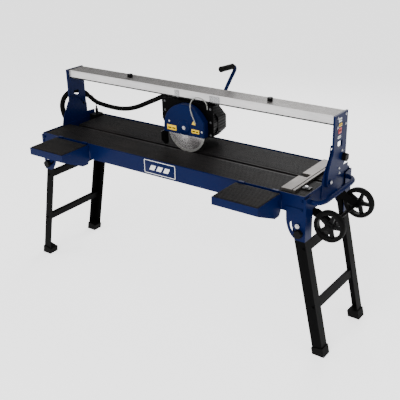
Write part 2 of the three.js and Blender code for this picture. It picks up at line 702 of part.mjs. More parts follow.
function wheelCarrier() {
  const topZ = tub.floorZ - GAP;
  const arm = new THREE.Shape();
  arm.moveTo(tubHalf - wheelArm.flange, topZ);
  arm.lineTo(tubHalf - wheelArm.flange, 692);
  arm.lineTo(wheelX - 14, wheel.z - 12);
  arm.absarc(wheelX, wheel.z, 18, -2.2, 1.1, false);
  arm.lineTo(tubHalf + 22, topZ);
  arm.closePath();
  const arms = [-1, 1].map((side) => {
    const y = side * wheelArm.y;
    return prismY(arm, y - wheelArm.thickness / 2, y + wheelArm.thickness / 2, 8);
  });
  const reach = wheelArm.y + wheelArm.thickness / 2;
  const flange = block(tubHalf - wheelArm.flange, -reach, topZ - wheelArm.thickness,
    tubHalf - 2, reach, topZ);
  const end = wheel.y + wheel.width / 2 + axle.overhang;
  const rod = prismY(disc(wheelX, wheel.z, axle.radius), -end, end, 8);
  return join(flange, ...arms, rod);
}

function carryHandle() {
  const x0 = bracketFaceX + GAP;
  const x1 = x0 + carry.reach;
  const { endY, sideY, z } = carry;
  const half = [
    [x0, endY, z], [x0 + 14, endY, z], [x0 + 0.5 * carry.reach, endY - 4, z],
    [x1 - 8, sideY + 12, z], [x1, sideY - 20, z], [x1, 60, z]];
  const back = half.map(([x, y, h]) => [x, -y, h]).reverse();
  return pipe([...half, ...back], carry.radius, 10, 44);
}

function addWheels() {
  place('wheel_carrier', wheelCarrier(), BLACK_STEEL());
  place('carry_handle', carryHandle(), BLUE());
  for (const [side, sign] of [['front', -1], ['rear', 1]]) {
    const geometry = transportWheel();
    const mesh = place(`wheel_${side}`, geometry, RUBBER());
    mesh.position.set(wheelX, sign * wheel.y, wheel.z);
  }
}

// ------------------------------------------------------------- trays, fence, switch

// Drawn about the tray's middle, with its back edge at the tub's front rim.
function sideTray() {
  const half = tray.width / 2;
  const back = -tubSide - SHEET - 2.5;
  const front = back - tray.depth;
  const topZ = table.topZ - table.ribHeight - 1.5;
  const { sheet } = tray;
  const top = block(-half, front, topZ - sheet, half, back, topZ);
  const skirt = block(-half, front, topZ - tray.skirt, half, front + sheet, topZ);
  const rear = block(-half, back - sheet, topZ - tray.skirt, half, back, topZ);
  const gusset = outline([
    [front, topZ], [front, topZ - tray.skirt], [back - 52, topZ - tray.gusset],
    [back - 14, topZ - tray.gusset], [back, topZ - tray.gusset + 24], [back, topZ]]);
  const sides = [-half, half - sheet].map((x) => prismX(gusset, x, x + sheet));
  const hooks = [-1, 1].flatMap((side) => {
    const x0 = side * (half - tray.hook) - tray.hook / 2;
    const x1 = x0 + tray.hook;
    const lipY = -tubSide + tub.wall + 1.2;
    const hookZ = tub.rimZ + GAP + sheet;
    return [
      block(x0, back - sheet, topZ - 10, x1, back, hookZ),
      block(x0, back - sheet, tub.rimZ + GAP, x1, lipY + 1.6, hookZ),
      block(x0, lipY, tub.rimZ - 4, x1, lipY + 1.6, hookZ)];
  });
  return join(top, skirt, rear, ...sides, ...hooks);
}

function trayPad() {
  const half = tray.width / 2 - 2 * tray.sheet;
  const back = -tubSide - SHEET - 2.5 - 2 * tray.sheet;
  const front = back - tray.depth + 4 * tray.sheet;
  const baseZ = table.topZ - table.ribHeight - 1.5 + GAP;
  const floorZ = baseZ + 1.2;
  const points = [[front, baseZ], [front, floorZ]];
  const count = Math.floor((back - front) / table.ribPitch);
  const margin = (back - front - (count - 1) * table.ribPitch - table.ribWidth) / 2;
  for (let i = 0; i < count; i += 1) {
    const y = front + margin + i * table.ribPitch;
    points.push([y, floorZ], [y + 1, table.topZ]);
    points.push([y + table.ribWidth - 1, table.topZ], [y + table.ribWidth, floorZ]);
  }
  points.push([back, floorZ], [back, baseZ]);
  return prismX(outline(points), -half, half);
}

function addTrays() {
  for (const [end, side] of [['left', -1], ['right', 1]]) {
    const group = new THREE.Group();
    group.position.x = side * (tubHalf - tray.inset);
    machine.add(group);
    place(`tray_${end}`, sideTray(), BLUE(), group);
    place(`tray_pad_${end}`, trayPad(), BLACK_STEEL(), group);
  }
}

function cutFence() {
  const { width, height, frontY, backY, notch } = fence;
  const leftX = tubHalf - fence.inset;
  const z0 = table.topZ + GAP;
  const z1 = z0 + height;
  const rightX = leftX + width;
  const bar = prismY(outline([
    [leftX, z0], [rightX, z0], [rightX, z1], [rightX - 11, z1], [rightX - 11, z0 + 5],
    [rightX - 16, z0 + 5], [rightX - 16, z1], [leftX, z1]]), frontY, backY);
  const tab = block(rightX - 1, fenceTab.frontY, z0, rightX + fenceTab.length,
    fenceTab.frontY + fenceTab.width, z0 + fenceTab.height);
  const bladeWay = block(leftX - 1, slotFront - 14, z0 - 1, leftX + notch, slotBack + 1, z1 + 1);
  const screwY = fenceTab.frontY + fenceTab.width / 2;
  const screwX = rightX + fenceTab.length / 2;
  const bore = prismZ(disc(screwX, screwY, fenceScrew.stem + GAP), z0 - 1, z1, 8);
  return { bar: cut(join(bar, tab), bladeWay, bore), screwX, screwY, z: z0 + fenceTab.height };
}

function addFence() {
  const { bar, screwX, screwY, z } = cutFence();
  place('fence', bar, ALUMINIUM());
  const { radius, height, stem } = fenceScrew;
  const depth = fenceTab.height - 1;
  const profile = [
    [0, -depth], [stem, -depth], [stem, GAP], [radius, GAP], [radius, height - 2],
    [radius - 2, height], [0, height]];
  place('fence_screw', turned(profile, 20).translate(screwX, screwY, z), BRIGHT_STEEL());
}

function addSwitch() {
  const x1 = -bracketX - tilt.bracket - GAP;
  const x0 = x1 - switchBox.depth;
  const y = switchBox.width / 2;
  const { topZ, height } = switchBox;
  const midZ = topZ - height / 2;
  const housing = block(x0, -y, topZ - height, x1, y, topZ);
  const well = block(x0 - 1, -rocker.width / 2 - 1.5, midZ - rocker.height / 2 - 2.5,
    x0 + 14, rocker.width / 2 + 1.5, midZ + rocker.height / 2 + 2.5);
  place('switch_box', cut(housing, well), BLACK_PLASTIC());
  const h = rocker.height / 2;
  const w = rocker.width / 2;
  const t = rocker.thickness;
  const key = prismY(outline([[t, -h], [t, h], [0, h], [2.5, 0], [0, -h]]), -w, w);
  key.translate(-t / 2, 0, 0);
  const mesh = place('switch_rocker', key, RUBBER());
  mesh.position.set(x0 + t / 2, 0, midZ);
  mesh.rotation.y = THREE.MathUtils.degToRad(rocker.tilt);
}

// ------------------------------------------------------------------ conduit and hoses

// The conduit rises from the switch box, loops round the left upright and sags to the carriage.
const loopRoute = [
  [-860, 12, 755.6], [-860, 12, 772], [-866, 13, 790], [-886, 17, 814], [-908, 24, 846],
  [-922, 36, 884], [-920, 58, 922], [-903, 92, 949], [-880, 127, 952], [-856, 152, 938],
  [-831.5, 160.5, 921]];
const spanRoute = [
  [-830.5, 161, 920.1], [-816.3, 164.6, 910.3], [-793, 163, 899], [-750, 154, 891],
  [-690, 143, 889], [-620, 134, 889], [-545, 125, 894], [-465, 114, 910], [-385, 103, 938],
  [-305, 92, 975], [-240, 83, 1005], [-196, 76, 1026], [-170, 75, 1031], [-150.5, 75, 1031]];
// The pump's clear hose climbs behind the left upright beside the conduit.
const pumpHoseRoute = [
  [-788, 178, 859.3], [-788, 178.4, 866], [-794, 184, 879], [-806, 189, 892],
  [-819, 189, 905], [-829, 185, 918]];
// The clear water line leaves the carriage plate and drops in a loop to the guard's nozzle.
const waterHoseRoute = [
  [150, 3, 1030], [151, 1, 1044], [150, -8, 1066], [136, -16, 1084], [112, -20, 1090],
  [88, -24, 1082], [76, -34, 1060], [80, -42, 1030], [92, -44, 1000], [102, -42, 975],
  [106, -38, 960]];

function addHoses() {
  place('conduit_loop', pipe(loopRoute, conduit.loopRadius, 10, 24), RUBBER());
  place('conduit_span', pipe(spanRoute, conduit.radius, 10, 36), RUBBER());
  place('pump_hose', pipe(pumpHoseRoute, hose.radius, 8, 18), CLEAR());
  place('water_hose', pipe(waterHoseRoute, hose.radius, 8, 28), CLEAR());
}

addTub();
addUprights();
addRail();
addCarriage();
addLegFrames();
addLegBrackets();
addWheels();
addTrays();
addFence();
addSwitch();
addHoses();

// The drawing is moved so that the middle of its outline stands over the origin.
const extent = new THREE.Box3().setFromObject(machine, true);
machine.position.set(
  -(extent.min.x + extent.max.x) / 2, -(extent.min.y + extent.max.y) / 2, -extent.min.z);

export default machine;
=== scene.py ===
"""Looks of a bridge wet tile saw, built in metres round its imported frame.

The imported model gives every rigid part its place. This script coats those parts, replaces the ones
whose form needs more detail, adds the small fittings, and lights the machine on a pale floor.
"""

from __future__ import annotations

import json
import logging
import math
from dataclasses import dataclass
from enum import Enum
from typing import Iterable, Sequence

import bmesh
import bpy
from mathutils import Matrix, Vector

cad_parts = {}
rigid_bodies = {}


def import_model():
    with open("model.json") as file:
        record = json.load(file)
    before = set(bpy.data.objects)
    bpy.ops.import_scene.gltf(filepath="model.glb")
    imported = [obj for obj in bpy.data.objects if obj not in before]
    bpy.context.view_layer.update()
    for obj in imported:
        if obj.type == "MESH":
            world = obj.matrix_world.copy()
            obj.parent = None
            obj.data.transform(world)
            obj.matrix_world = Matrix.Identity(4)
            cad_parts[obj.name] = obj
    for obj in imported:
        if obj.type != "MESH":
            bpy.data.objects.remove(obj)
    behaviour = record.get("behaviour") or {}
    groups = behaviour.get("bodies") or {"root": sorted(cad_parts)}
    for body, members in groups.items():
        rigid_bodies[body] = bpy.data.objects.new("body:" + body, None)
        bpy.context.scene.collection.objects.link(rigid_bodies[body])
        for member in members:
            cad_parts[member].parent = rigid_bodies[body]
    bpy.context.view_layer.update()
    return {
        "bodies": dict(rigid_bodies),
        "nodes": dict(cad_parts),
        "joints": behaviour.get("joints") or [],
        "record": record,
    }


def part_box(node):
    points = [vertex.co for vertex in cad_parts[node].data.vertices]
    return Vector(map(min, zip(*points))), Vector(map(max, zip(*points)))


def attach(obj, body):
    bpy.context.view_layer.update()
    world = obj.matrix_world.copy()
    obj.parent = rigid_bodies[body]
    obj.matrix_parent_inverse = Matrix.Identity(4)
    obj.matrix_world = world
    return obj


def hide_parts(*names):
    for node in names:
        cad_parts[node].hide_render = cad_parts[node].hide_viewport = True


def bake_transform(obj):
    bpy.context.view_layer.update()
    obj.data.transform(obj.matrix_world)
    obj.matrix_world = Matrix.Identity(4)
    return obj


LOG = logging.getLogger("tile_saw")
Point = tuple[float, float, float]
Profile = Sequence[tuple[float, float]]
FULL_TURN = 2 * math.pi
MERGE_WITHIN = 1e-6
FLAT_WITHIN = 1e-5
SEAT = 0.0002
FENCE_BAR_WIDTH = 0.0702


class Slot(Enum):
    """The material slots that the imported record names."""

    BLUE = "blue_paint"
    BLACK = "black_paint"
    MOTOR = "motor_black"
    PLASTIC = "black_plastic"
    RUBBER = "black_rubber"
    ALUMINIUM = "aluminium"
    STEEL = "bright_steel"
    CLEAR = "clear_hose"


class Facing(Enum):
    """The six directions that a fitting made along +Z can be turned to face."""

    RIGHT = (1.0, 0.0, 0.0)
    LEFT = (-1.0, 0.0, 0.0)
    FRONT = (0.0, -1.0, 0.0)
    BACK = (0.0, 1.0, 0.0)
    UP = (0.0, 0.0, 1.0)
    DOWN = (0.0, 0.0, -1.0)

    def at(self, point: Iterable[float]) -> Matrix:
        """Places a fitting at a point, facing this way.

        Args:
            point: Where the fitting's own origin goes.

        Returns:
            The matrix that turns and moves the fitting.
        """
        turn = Vector(self.value).to_track_quat("Z", "Y").to_matrix().to_4x4()
        return Matrix.Translation(Vector(point)) @ turn


# --------------------------------------------------------------------------- shader maths


class Wire:
    """A shader socket that takes part in ordinary expressions."""

    def __init__(self, graph: "Graph", socket: bpy.types.NodeSocket) -> None:
        """Wraps one output socket of a graph."""
        self.graph = graph
        self.socket = socket

    def _math(self, operation: str, first: object, second: object) -> "Wire":
        """Adds a Math node.

        Args:
            operation: The node's operation.
            first: The first operand, a wire or a number.
            second: The second operand, a wire or a number.

        Returns:
            The node's result.
        """
        return self.graph.node("ShaderNodeMath", {"operation": operation}, {0: first, 1: second})

    def __add__(self, other: object) -> "Wire":
        """Adds a wire or a number."""
        return self._math("ADD", self, other)

    def __sub__(self, other: object) -> "Wire":
        """Subtracts a wire or a number."""
        return self._math("SUBTRACT", self, other)

    def __rsub__(self, other: object) -> "Wire":
        """Is subtracted from a number."""
        return self._math("SUBTRACT", other, self)

    def __mul__(self, other: object) -> "Wire":
        """Multiplies by a wire or a number."""
        return self._math("MULTIPLY", self, other)

    __radd__ = __add__
    __rmul__ = __mul__


class Graph:
    """A material's node tree, with a Principled surface waiting for its inputs."""

    def __init__(self, name: str) -> None:
        """Starts an empty material.

        Args:
            name: The material's name.
        """
        self.material = bpy.data.materials.new(name)
        self.material.use_nodes = True
        self.tree = self.material.node_tree
        self.tree.nodes.clear()
        self.surface = self.tree.nodes.new("ShaderNodeBsdfPrincipled")
        output = self.tree.nodes.new("ShaderNodeOutputMaterial")
        self.tree.links.new(self.surface.outputs[0], output.inputs[0])

    def _feed(self, node: bpy.types.Node, inputs: dict) -> None:
        """Gives a node's sockets their values or links.

        Args:
            node: The node.
            inputs: Socket names or numbers, each with a wire or a plain value.
        """
        for key, value in inputs.items():
            if isinstance(value, Wire):
                self.tree.links.new(value.socket, node.inputs[key])
            else:
                node.inputs[key].default_value = value

    def node(self, kind: str, settings: dict, inputs: dict, output: str | int = 0) -> Wire:
        """Adds any node.

        Args:
            kind: The node's type.
            settings: Its own settings, which are made first.
            inputs: The values or links of its sockets.
            output: The output that is wanted.

        Returns:
            That output as a wire.
        """
        made = self.tree.nodes.new(kind)
        for key, value in settings.items():
            setattr(made, key, value)
        self._feed(made, inputs)
        return Wire(self, made.outputs[output])

    def finish(self, **inputs: object) -> bpy.types.Material:
        """Feeds the surface and hands over the material.

        Args:
            **inputs: The surface's sockets, with an underscore for each space.

        Returns:
            The finished material.
        """
        self._feed(self.surface, {k.replace("_", " "): v for k, v in inputs.items()})
        return self.material

    def place(self, stretch: Point = (1, 1, 1), centre: Point = (0, 0, 0)) -> Wire:
        """Gives object coordinates, measured from a centre and stretched.

        Args:
            stretch: How much each axis is scaled.
            centre: The point that becomes the pattern's origin.

        Returns:
            The coordinates.
        """
        coords = self.node("ShaderNodeTexCoord", {}, {}, "Object")
        shift = tuple(-c * s for c, s in zip(centre, stretch))
        return self.node("ShaderNodeMapping", {}, {"Vector": coords, "Location": shift, "Scale": stretch})

    def noise(self, where: Wire, scale: float, detail: float = 3.0) -> Wire:
        """Adds a cloud of noise.

        Args:
            where: The coordinates that it reads.
            scale: Its frequency, per metre.
            detail: Its number of octaves.

        Returns:
            Its value, from about 0 to 1.
        """
        return self.node("ShaderNodeTexNoise", {}, {"Vector": where, "Scale": scale, "Detail": detail})

    def ramp(self, value: Wire, low: float, high: float) -> Wire:
        """Spreads a band of a value over 0 to 1.

        Args:
            value: The value.
            low: What becomes 0.
            high: What becomes 1.

        Returns:
            The spread value, held inside 0 and 1.
        """
        return self.node("ShaderNodeMapRange", {"clamp": True},
                         {"Value": value, "From Min": low, "From Max": high})

    def tint(self, share: Wire, first: Wire | Sequence[float], second: Wire | Sequence[float]) -> Wire:
        """Mixes two colours.

        Args:
            share: How much of the second colour shows.
            first: The first colour, or a wire that carries one.
            second: The second colour, or a wire that carries one.

        Returns:
            The mixed colour.
        """
        lead = first if isinstance(first, Wire) else (*first, 1.0)
        follow = second if isinstance(second, Wire) else (*second, 1.0)
        return self.node("ShaderNodeMix", {"data_type": "RGBA"}, {0: share, 6: lead, 7: follow}, 2)

    def bump(self, height: Wire, strength: float, distance: float) -> Wire:
        """Turns a height into a normal.

        Args:
            height: The height, from 0 to 1.
            strength: How strongly it shows.
            distance: The relief's depth, in metres.

        Returns:
            The normal.
        """
        return self.node("ShaderNodeBump", {}, {"Height": height, "Strength": strength,
                                                "Distance": distance})


# --------------------------------------------------------------------------------- finishes


@dataclass(frozen=True)
class Coat:
    """A paint, plastic or rubber: one colour with cloudy gloss, fine grain and a little dust."""

    name: str
    color: Point
    dusty: Point
    roughness: float
    shine: float = 0.3
    glow: float = 0.0
    grain: float = 900.0
    relief: float = 0.25
    depth: float = 0.0003
    dust: float = 0.3

    def build(self) -> bpy.types.Material:
        """Makes the material.

        Returns:
            The finished material.
        """
        g = Graph(self.name)
        where = g.place()
        cloud = g.noise(where, 9.0, 5.0)
        speck = g.noise(where, 160.0, 3.0)
        grain = g.noise(where, self.grain, 2.0)
        smear = g.ramp(cloud * 0.7 + speck * 0.3, 0.42, 0.68)
        color = g.tint(smear * self.dust, self.color, self.dusty)
        scuff = g.ramp(g.noise(g.place((1.0, 1.0, 3.0)), 70.0, 6.0), 0.66, 0.72)
        rough = cloud * 0.16 + scuff * 0.12 + (self.roughness - 0.08)
        if self.glow:
            g.finish(Emission_Color=(1.0, 1.0, 1.0, 1.0), Emission_Strength=self.glow)
        return g.finish(Base_Color=color, Roughness=rough,
                        Specular_IOR_Level=self.shine, Normal=g.bump(grain, self.relief, self.depth))


@dataclass(frozen=True)
class Brushed:
    """A metal with fine marks along one direction."""

    name: str
    color: Point
    shade: Point
    roughness: float
    stretch: Point = (2.0, 160.0, 160.0)
    relief: float = 0.12
    # Painted shade: from the height top upward the colour turns to the darker top colour below, standing in
    # for the shade on the rail's top face.
    top: float | None = None
    painted_top_shade_color: Point = (0.105, 0.098, 0.091)
    black_past: float | None = None

    def build(self) -> bpy.types.Material:
        """Makes the material.

        Returns:
            The finished material.
        """
        g = Graph(self.name)
        lines = g.noise(g.place(self.stretch), 6.0, 4.0)
        cloud = g.noise(g.place(), 7.0, 4.0)
        color = g.tint(g.ramp(lines * 0.6 + cloud * 0.4, 0.35, 0.7), self.color, self.shade)
        # Painted shade: the rail's top face is mixed towards a darker colour so that it reads as shaded;
        # dull carries that painted shade.
        if self.top is not None:
            height = g.node("ShaderNodeSeparateXYZ", {}, {0: g.place()}, "Z")
            dull = g.tint(g.ramp(lines, 0.3, 0.75), self.painted_top_shade_color, tuple(c * 0.7 for c in self.painted_top_shade_color))
            color = g.tint(g.ramp(height, self.top - 0.0009, self.top - 0.0004), color, dull)
        if self.black_past is not None:
            across = g.node("ShaderNodeSeparateXYZ", {}, {0: g.place()}, "X")
            past = g.ramp(across, self.black_past, self.black_past + 0.001)
            color = g.tint(past, color, (0.008, 0.008, 0.008))
        rough = lines * 0.22 + cloud * 0.1 + (self.roughness - 0.14)
        return g.finish(Base_Color=color, Roughness=rough, Metallic=0.85,
                        Normal=g.bump(lines, self.relief, 0.0002))


@dataclass(frozen=True)
class Ground:
    """Steel ground in rings about an axis that runs along Y."""

    name: str
    color: Point
    shade: Point
    centre: Point
    roughness: float = 0.26

    def build(self) -> bpy.types.Material:
        """Makes the material.

        Returns:
            The finished material.
        """
        g = Graph(self.name)
        where = g.place((1.0, 0.0, 1.0), self.centre)
        radius = g.node("ShaderNodeVectorMath", {"operation": "LENGTH"}, {0: where}, "Value")
        spread = g.node("ShaderNodeCombineXYZ", {}, {"X": radius * 900.0})
        rings = g.noise(spread, 1.0, 2.0)
        cloud = g.noise(g.place(), 26.0, 4.0)
        # Painted sheen: light and dark wedges round the centre, from the cosine of three times the angle,
        # are mixed into the colour in place of the radial highlights of ground steel.
        parts = [g.node("ShaderNodeSeparateXYZ", {}, {0: where}, axis) for axis in ("X", "Z")]
        angle = g.node("ShaderNodeMath", {"operation": "ARCTAN2"}, {0: parts[1], 1: parts[0]})
        painted_sheen = g.node("ShaderNodeMath", {"operation": "COSINE"}, {0: angle * 3.0 + 2.2})
        color = g.tint(g.ramp(rings * 0.3 + cloud * 0.3 + painted_sheen * 0.3, 0.1, 0.6), self.color, self.shade)
        return g.finish(Base_Color=color, Roughness=rings * 0.18 + (self.roughness - 0.09),
                        Metallic=0.9, Normal=g.bump(rings, 0.15, 0.0001))


@dataclass(frozen=True)
class Ribbed:
    """The tables' dark coat, with pale stone dust lying in it and rubbed crowns."""

    name: str
    color: Point
    dusty: Point
    rubbed: Point
    roughness: float = 0.5

    def build(self) -> bpy.types.Material:
        """Makes the material.

        Returns:
            The finished material.
        """
        g = Graph(self.name)
        where = g.place()
        cloud = g.noise(where, 5.0, 6.0)
        streak = g.noise(g.place((1.5, 60.0, 10.0)), 4.0, 4.0)
        dust = g.ramp(cloud * 0.6 + streak * 0.4, 0.42, 0.66)
        rub = g.ramp(g.noise(g.place((3.0, 120.0, 20.0)), 5.0, 5.0), 0.55, 0.72)
        color = g.tint(rub * 0.35, g.tint(dust * 0.3, self.color, self.dusty), self.rubbed)
        return g.finish(Base_Color=color, Roughness=cloud * 0.2 + (self.roughness - 0.1),
                        Metallic=0.1, Specular_IOR_Level=0.06,
                        Normal=g.bump(g.noise(where, 700.0, 2.0), 0.3, 0.0004))


@dataclass(frozen=True)
class ClearTube:
    """Soft see-through tube, a little milky."""

    name: str
    color: Point
    alpha: float

    def build(self) -> bpy.types.Material:
        """Makes the material.

        Returns:
            The finished material.
        """
        g = Graph(self.name)
        haze = g.noise(g.place(), 60.0, 3.0)
        return g.finish(Base_Color=g.tint(haze * 0.4, self.color, (0.4, 0.41, 0.4)),
                        Roughness=haze * 0.1 + 0.08, Alpha=haze * 0.2 + (self.alpha - 0.1))


class Finishes:
    """Every finish of the machine, made once."""

    def __init__(self, blade_centre: Point, rail_top: float, fence_edge: float) -> None:
        """Makes the materials.

        Args:
            blade_centre: The point that the blade's ground rings run round.
            rail_top: The height of the rail's ribbed top, whose colour is painted darker than its sides as
                painted shade.
            fence_edge: The fence bar's edge, past which its clamping tab is black.
        """
        recipes = {
            "blue": Coat("deep blue powder coat", (0.0003, 0.0038, 0.034), (0.001, 0.007, 0.045), 0.38,
                         shine=0.05, relief=0.18, depth=0.0004, grain=380.0, dust=0.35),
            "black": Coat("satin black coat", (0.001, 0.001, 0.0011), (0.003, 0.0028, 0.0028), 0.42,
                          shine=0.02, grain=600.0),
            "motor": Coat("black enamel", (0.002, 0.002, 0.0022), (0.006, 0.006, 0.006), 0.34,
                          shine=0.09),
            "plastic": Coat("moulded black plastic", (0.0024, 0.0024, 0.0026), (0.009, 0.009, 0.009),
                            0.48, shine=0.05, grain=1100.0, relief=0.35),
            "rubber": Coat("matt black rubber", (0.002, 0.002, 0.002), (0.008, 0.0078, 0.0075), 0.68,
                           shine=0.04, grain=1500.0, relief=0.4),
            "yellow": Coat("yellow label film", (0.72, 0.45, 0.006), (0.55, 0.36, 0.02), 0.38, dust=0.2),
            "white": Coat("white label film", (0.7, 0.7, 0.7), (0.55, 0.55, 0.55), 0.4, dust=0.2),
            "red": Coat("red label film", (0.42, 0.03, 0.02), (0.35, 0.05, 0.04), 0.4, dust=0.2),
            "table": Ribbed("ribbed table coat", (0.004, 0.0037, 0.004), (0.036, 0.031, 0.028),
                            (0.024, 0.022, 0.022)),
            "aluminium": Brushed("extruded aluminium", (0.62, 0.61, 0.61), (0.5, 0.49, 0.49), 0.42,
                                 top=rail_top),
            "fence": Brushed("cross-brushed aluminium", (0.12, 0.108, 0.1), (0.08, 0.073, 0.066), 0.44,
                             (160.0, 2.0, 160.0), black_past=fence_edge),
            "zinc": Brushed("bright zinc plate", (0.5, 0.5, 0.51), (0.34, 0.34, 0.36), 0.32,
                            (40.0, 40.0, 40.0)),
            "dull_steel": Brushed("dull steel", (0.13, 0.13, 0.135), (0.07, 0.07, 0.075), 0.4,
                                  (40.0, 40.0, 40.0)),
            "blade": Ground("ground blade steel", (0.86, 0.83, 0.82), (0.32, 0.3, 0.3), blade_centre),
            "rim": Ground("diamond rim", (0.42, 0.41, 0.39), (0.3, 0.3, 0.29), blade_centre, 0.5),
            "clear": ClearTube("clear hose", (0.22, 0.22, 0.2), 0.62),
            "cover": ClearTube("clear cover", (0.36, 0.37, 0.38), 0.4),
        }
        self.made = {key: recipe.build() for key, recipe in recipes.items()}

    def __getitem__(self, key: str) -> bpy.types.Material:
        """Gives a material by its short name."""
        return self.made[key]


# --------------------------------------------------------------------------- shaping pieces


def in_scene(name: str, data: bpy.types.ID) -> bpy.types.Object:
    """Makes an object and links it to the scene.

    Args:
        name: Its name.
        data: Its mesh, light or camera.

    Returns:
        The object.
    """
    made = bpy.data.objects.new(name, data)
    bpy.context.scene.collection.objects.link(made)
    return made


class Shape:
    """A mesh in the making, built with bmesh operators."""

    def __init__(self) -> None:
        """Starts an empty mesh."""
        self.bm = bmesh.new()

    @classmethod
    def block(cls, low: Iterable[float], high: Iterable[float], round_off: float = 0.0) -> "Shape":
        """Makes a block with rounded edges.

        Args:
            low: Its lowest corner.
            high: Its highest corner.
            round_off: The radius of its edges.

        Returns:
            The shape.
        """
        made = cls()
        a, b = Vector(low), Vector(high)
        frame = Matrix.Translation((a + b) / 2) @ Matrix.Diagonal((*(b - a), 1.0))
        bmesh.ops.create_cube(made.bm, size=1.0, matrix=frame)
        return made.rounded(round_off) if round_off else made

    @classmethod
    def turned(cls, profile: Profile, sides: int = 32) -> "Shape":
        """Turns a profile about Z.

        Args:
            profile: Radius and height of each point, from axis to axis or closed.
            sides: The steps of a full turn.

        Returns:
            The shape.
        """
        made = cls()
        points = [made.bm.verts.new((r, 0.0, z)) for r, z in profile]
        edges = [made.bm.edges.new(pair) for pair in zip(points, points[1:])]
        bmesh.ops.spin(made.bm, geom=points + edges, cent=(0, 0, 0), axis=(0, 0, 1),
                       angle=FULL_TURN, steps=sides, use_merge=True)
        bmesh.ops.remove_doubles(made.bm, verts=made.bm.verts[:], dist=MERGE_WITHIN)
        return made.outward()

    @classmethod
    def ring_part(cls, inner: float, outer: float, low: float, high: float, start: float,
                  sweep: float, steps: int) -> "Shape":
        """Sweeps a rectangle through part of a turn about Z.

        Args:
            inner: Inner radius.
            outer: Outer radius.
            low: Lower height.
            high: Upper height.
            start: The angle where it begins, in radians.
            sweep: The angle that it covers, in radians.
            steps: The number of steps.

        Returns:
            The shape.
        """
        made = cls()
        corners = ((inner, low), (outer, low), (outer, high), (inner, high))
        points = [made.bm.verts.new((r, 0.0, z)) for r, z in corners]
        face = made.bm.faces.new(points)
        bmesh.ops.spin(made.bm, geom=[face, *face.edges, *points], cent=(0, 0, 0), axis=(0, 0, 1),
                       angle=sweep, steps=steps)
        made.bm.transform(Matrix.Rotation(start, 4, "Z"))
        bmesh.ops.remove_doubles(made.bm, verts=made.bm.verts[:], dist=MERGE_WITHIN)
        return made.outward()

    @classmethod
    def prism(cls, outline: Profile, depth: float, round_off: float = 0.0) -> "Shape":
        """Raises an outline in the XY plane along Z.

        Args:
            outline: Its corners.
            depth: How far it is raised.
            round_off: The radius of its edges.

        Returns:
            The shape.
        """
        made = cls()
        face = made.bm.faces.new([made.bm.verts.new((x, y, 0.0)) for x, y in outline])
        raised = bmesh.ops.extrude_face_region(made.bm, geom=[face])["geom"]
        tops = [v for v in raised if isinstance(v, bmesh.types.BMVert)]
        bmesh.ops.translate(made.bm, verts=tops, vec=(0, 0, depth))
        made.outward()
        return made.rounded(round_off) if round_off else made

    @classmethod
    def tube(cls, route: Sequence[Vector], radii: Sequence[float], sides: int) -> "Shape":
        """Bridges circles set along a route, and closes both ends.

        Args:
            route: The points of its middle line.
            radii: The radius at each point.
            sides: The sides of each circle.

        Returns:
            The shape.
        """
        made = cls()
        turn = (route[1] - route[0]).to_track_quat("Z", "Y")
        last = turn @ Vector((0, 0, 1))
        loops = []
        for i, (point, radius) in enumerate(zip(route, radii)):
            ahead = route[min(i + 1, len(route) - 1)] - route[max(i - 1, 0)]
            turn = last.rotation_difference(ahead) @ turn
            last = ahead.normalized()
            frame = Matrix.Translation(point) @ turn.to_matrix().to_4x4()
            ends = i in (0, len(route) - 1)
            ring = bmesh.ops.create_circle(made.bm, cap_ends=ends, segments=sides, radius=radius,
                                           matrix=frame)["verts"]
            known = set(ring)
            loops.append([e for v in ring for e in v.link_edges if e.verts[0] in known])
        for first, second in zip(loops, loops[1:]):
            bmesh.ops.bridge_loops(made.bm, edges=list(set(first + second)))
        return made.outward()

    def outward(self) -> "Shape":
        """Turns every face outward."""
        bmesh.ops.recalc_face_normals(self.bm, faces=self.bm.faces[:])
        return self

    def rounded(self, radius: float, steepest: float = 0.6, segments: int = 2) -> "Shape":
        """Rounds the edges that are sharper than an angle.

        Args:
            radius: The width of the rounding.
            steepest: The angle between faces, in radians, past which an edge is rounded.
            segments: The steps of the rounding.

        Returns:
            This shape.
        """
        edges = [e for e in self.bm.edges if e.is_manifold and e.calc_face_angle() > steepest]
        bmesh.ops.bevel(self.bm, geom=edges, offset=radius, segments=segments, profile=0.5,
                        affect="EDGES", material=-1, clamp_overlap=True)
        return self

    def join(self, other: "Shape", place: Matrix | None = None) -> "Shape":
        """Adds another shape to this one.

        Args:
            other: The shape to add, which is used up.
            place: Where it goes.

        Returns:
            This shape.
        """
        mesh = bpy.data.meshes.new("joined")
        other.bm.to_mesh(mesh)
        other.bm.free()
        if place is not None:
            mesh.transform(place)
        self.bm.from_mesh(mesh)
        bpy.data.meshes.remove(mesh)
        return self

    def piece(self, name: str, material: bpy.types.Material, body: str | None, slot: Slot,
              smooth: float = 0.6) -> bpy.types.Object:
        """Finishes the shape as a piece of the machine.

        Args:
            name: The piece's name.
            material: Its finish.
            body: The body that it rides on, or None, where it rides on no body.
            slot: Not used.
            smooth: The angle, in radians, under which two faces shade as one.

        Returns:
            The piece.
        """
        mesh = bpy.data.meshes.new(name)
        self.bm.to_mesh(mesh)
        self.bm.free()
        mesh.shade_smooth()
        mesh.set_sharp_from_angle(angle=smooth)
        mesh.materials.append(material)
        made = in_scene(name, mesh)
        if body is not None:
            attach(made, body)
        LOG.info("%s: %d faces", name, len(mesh.polygons))
        return made


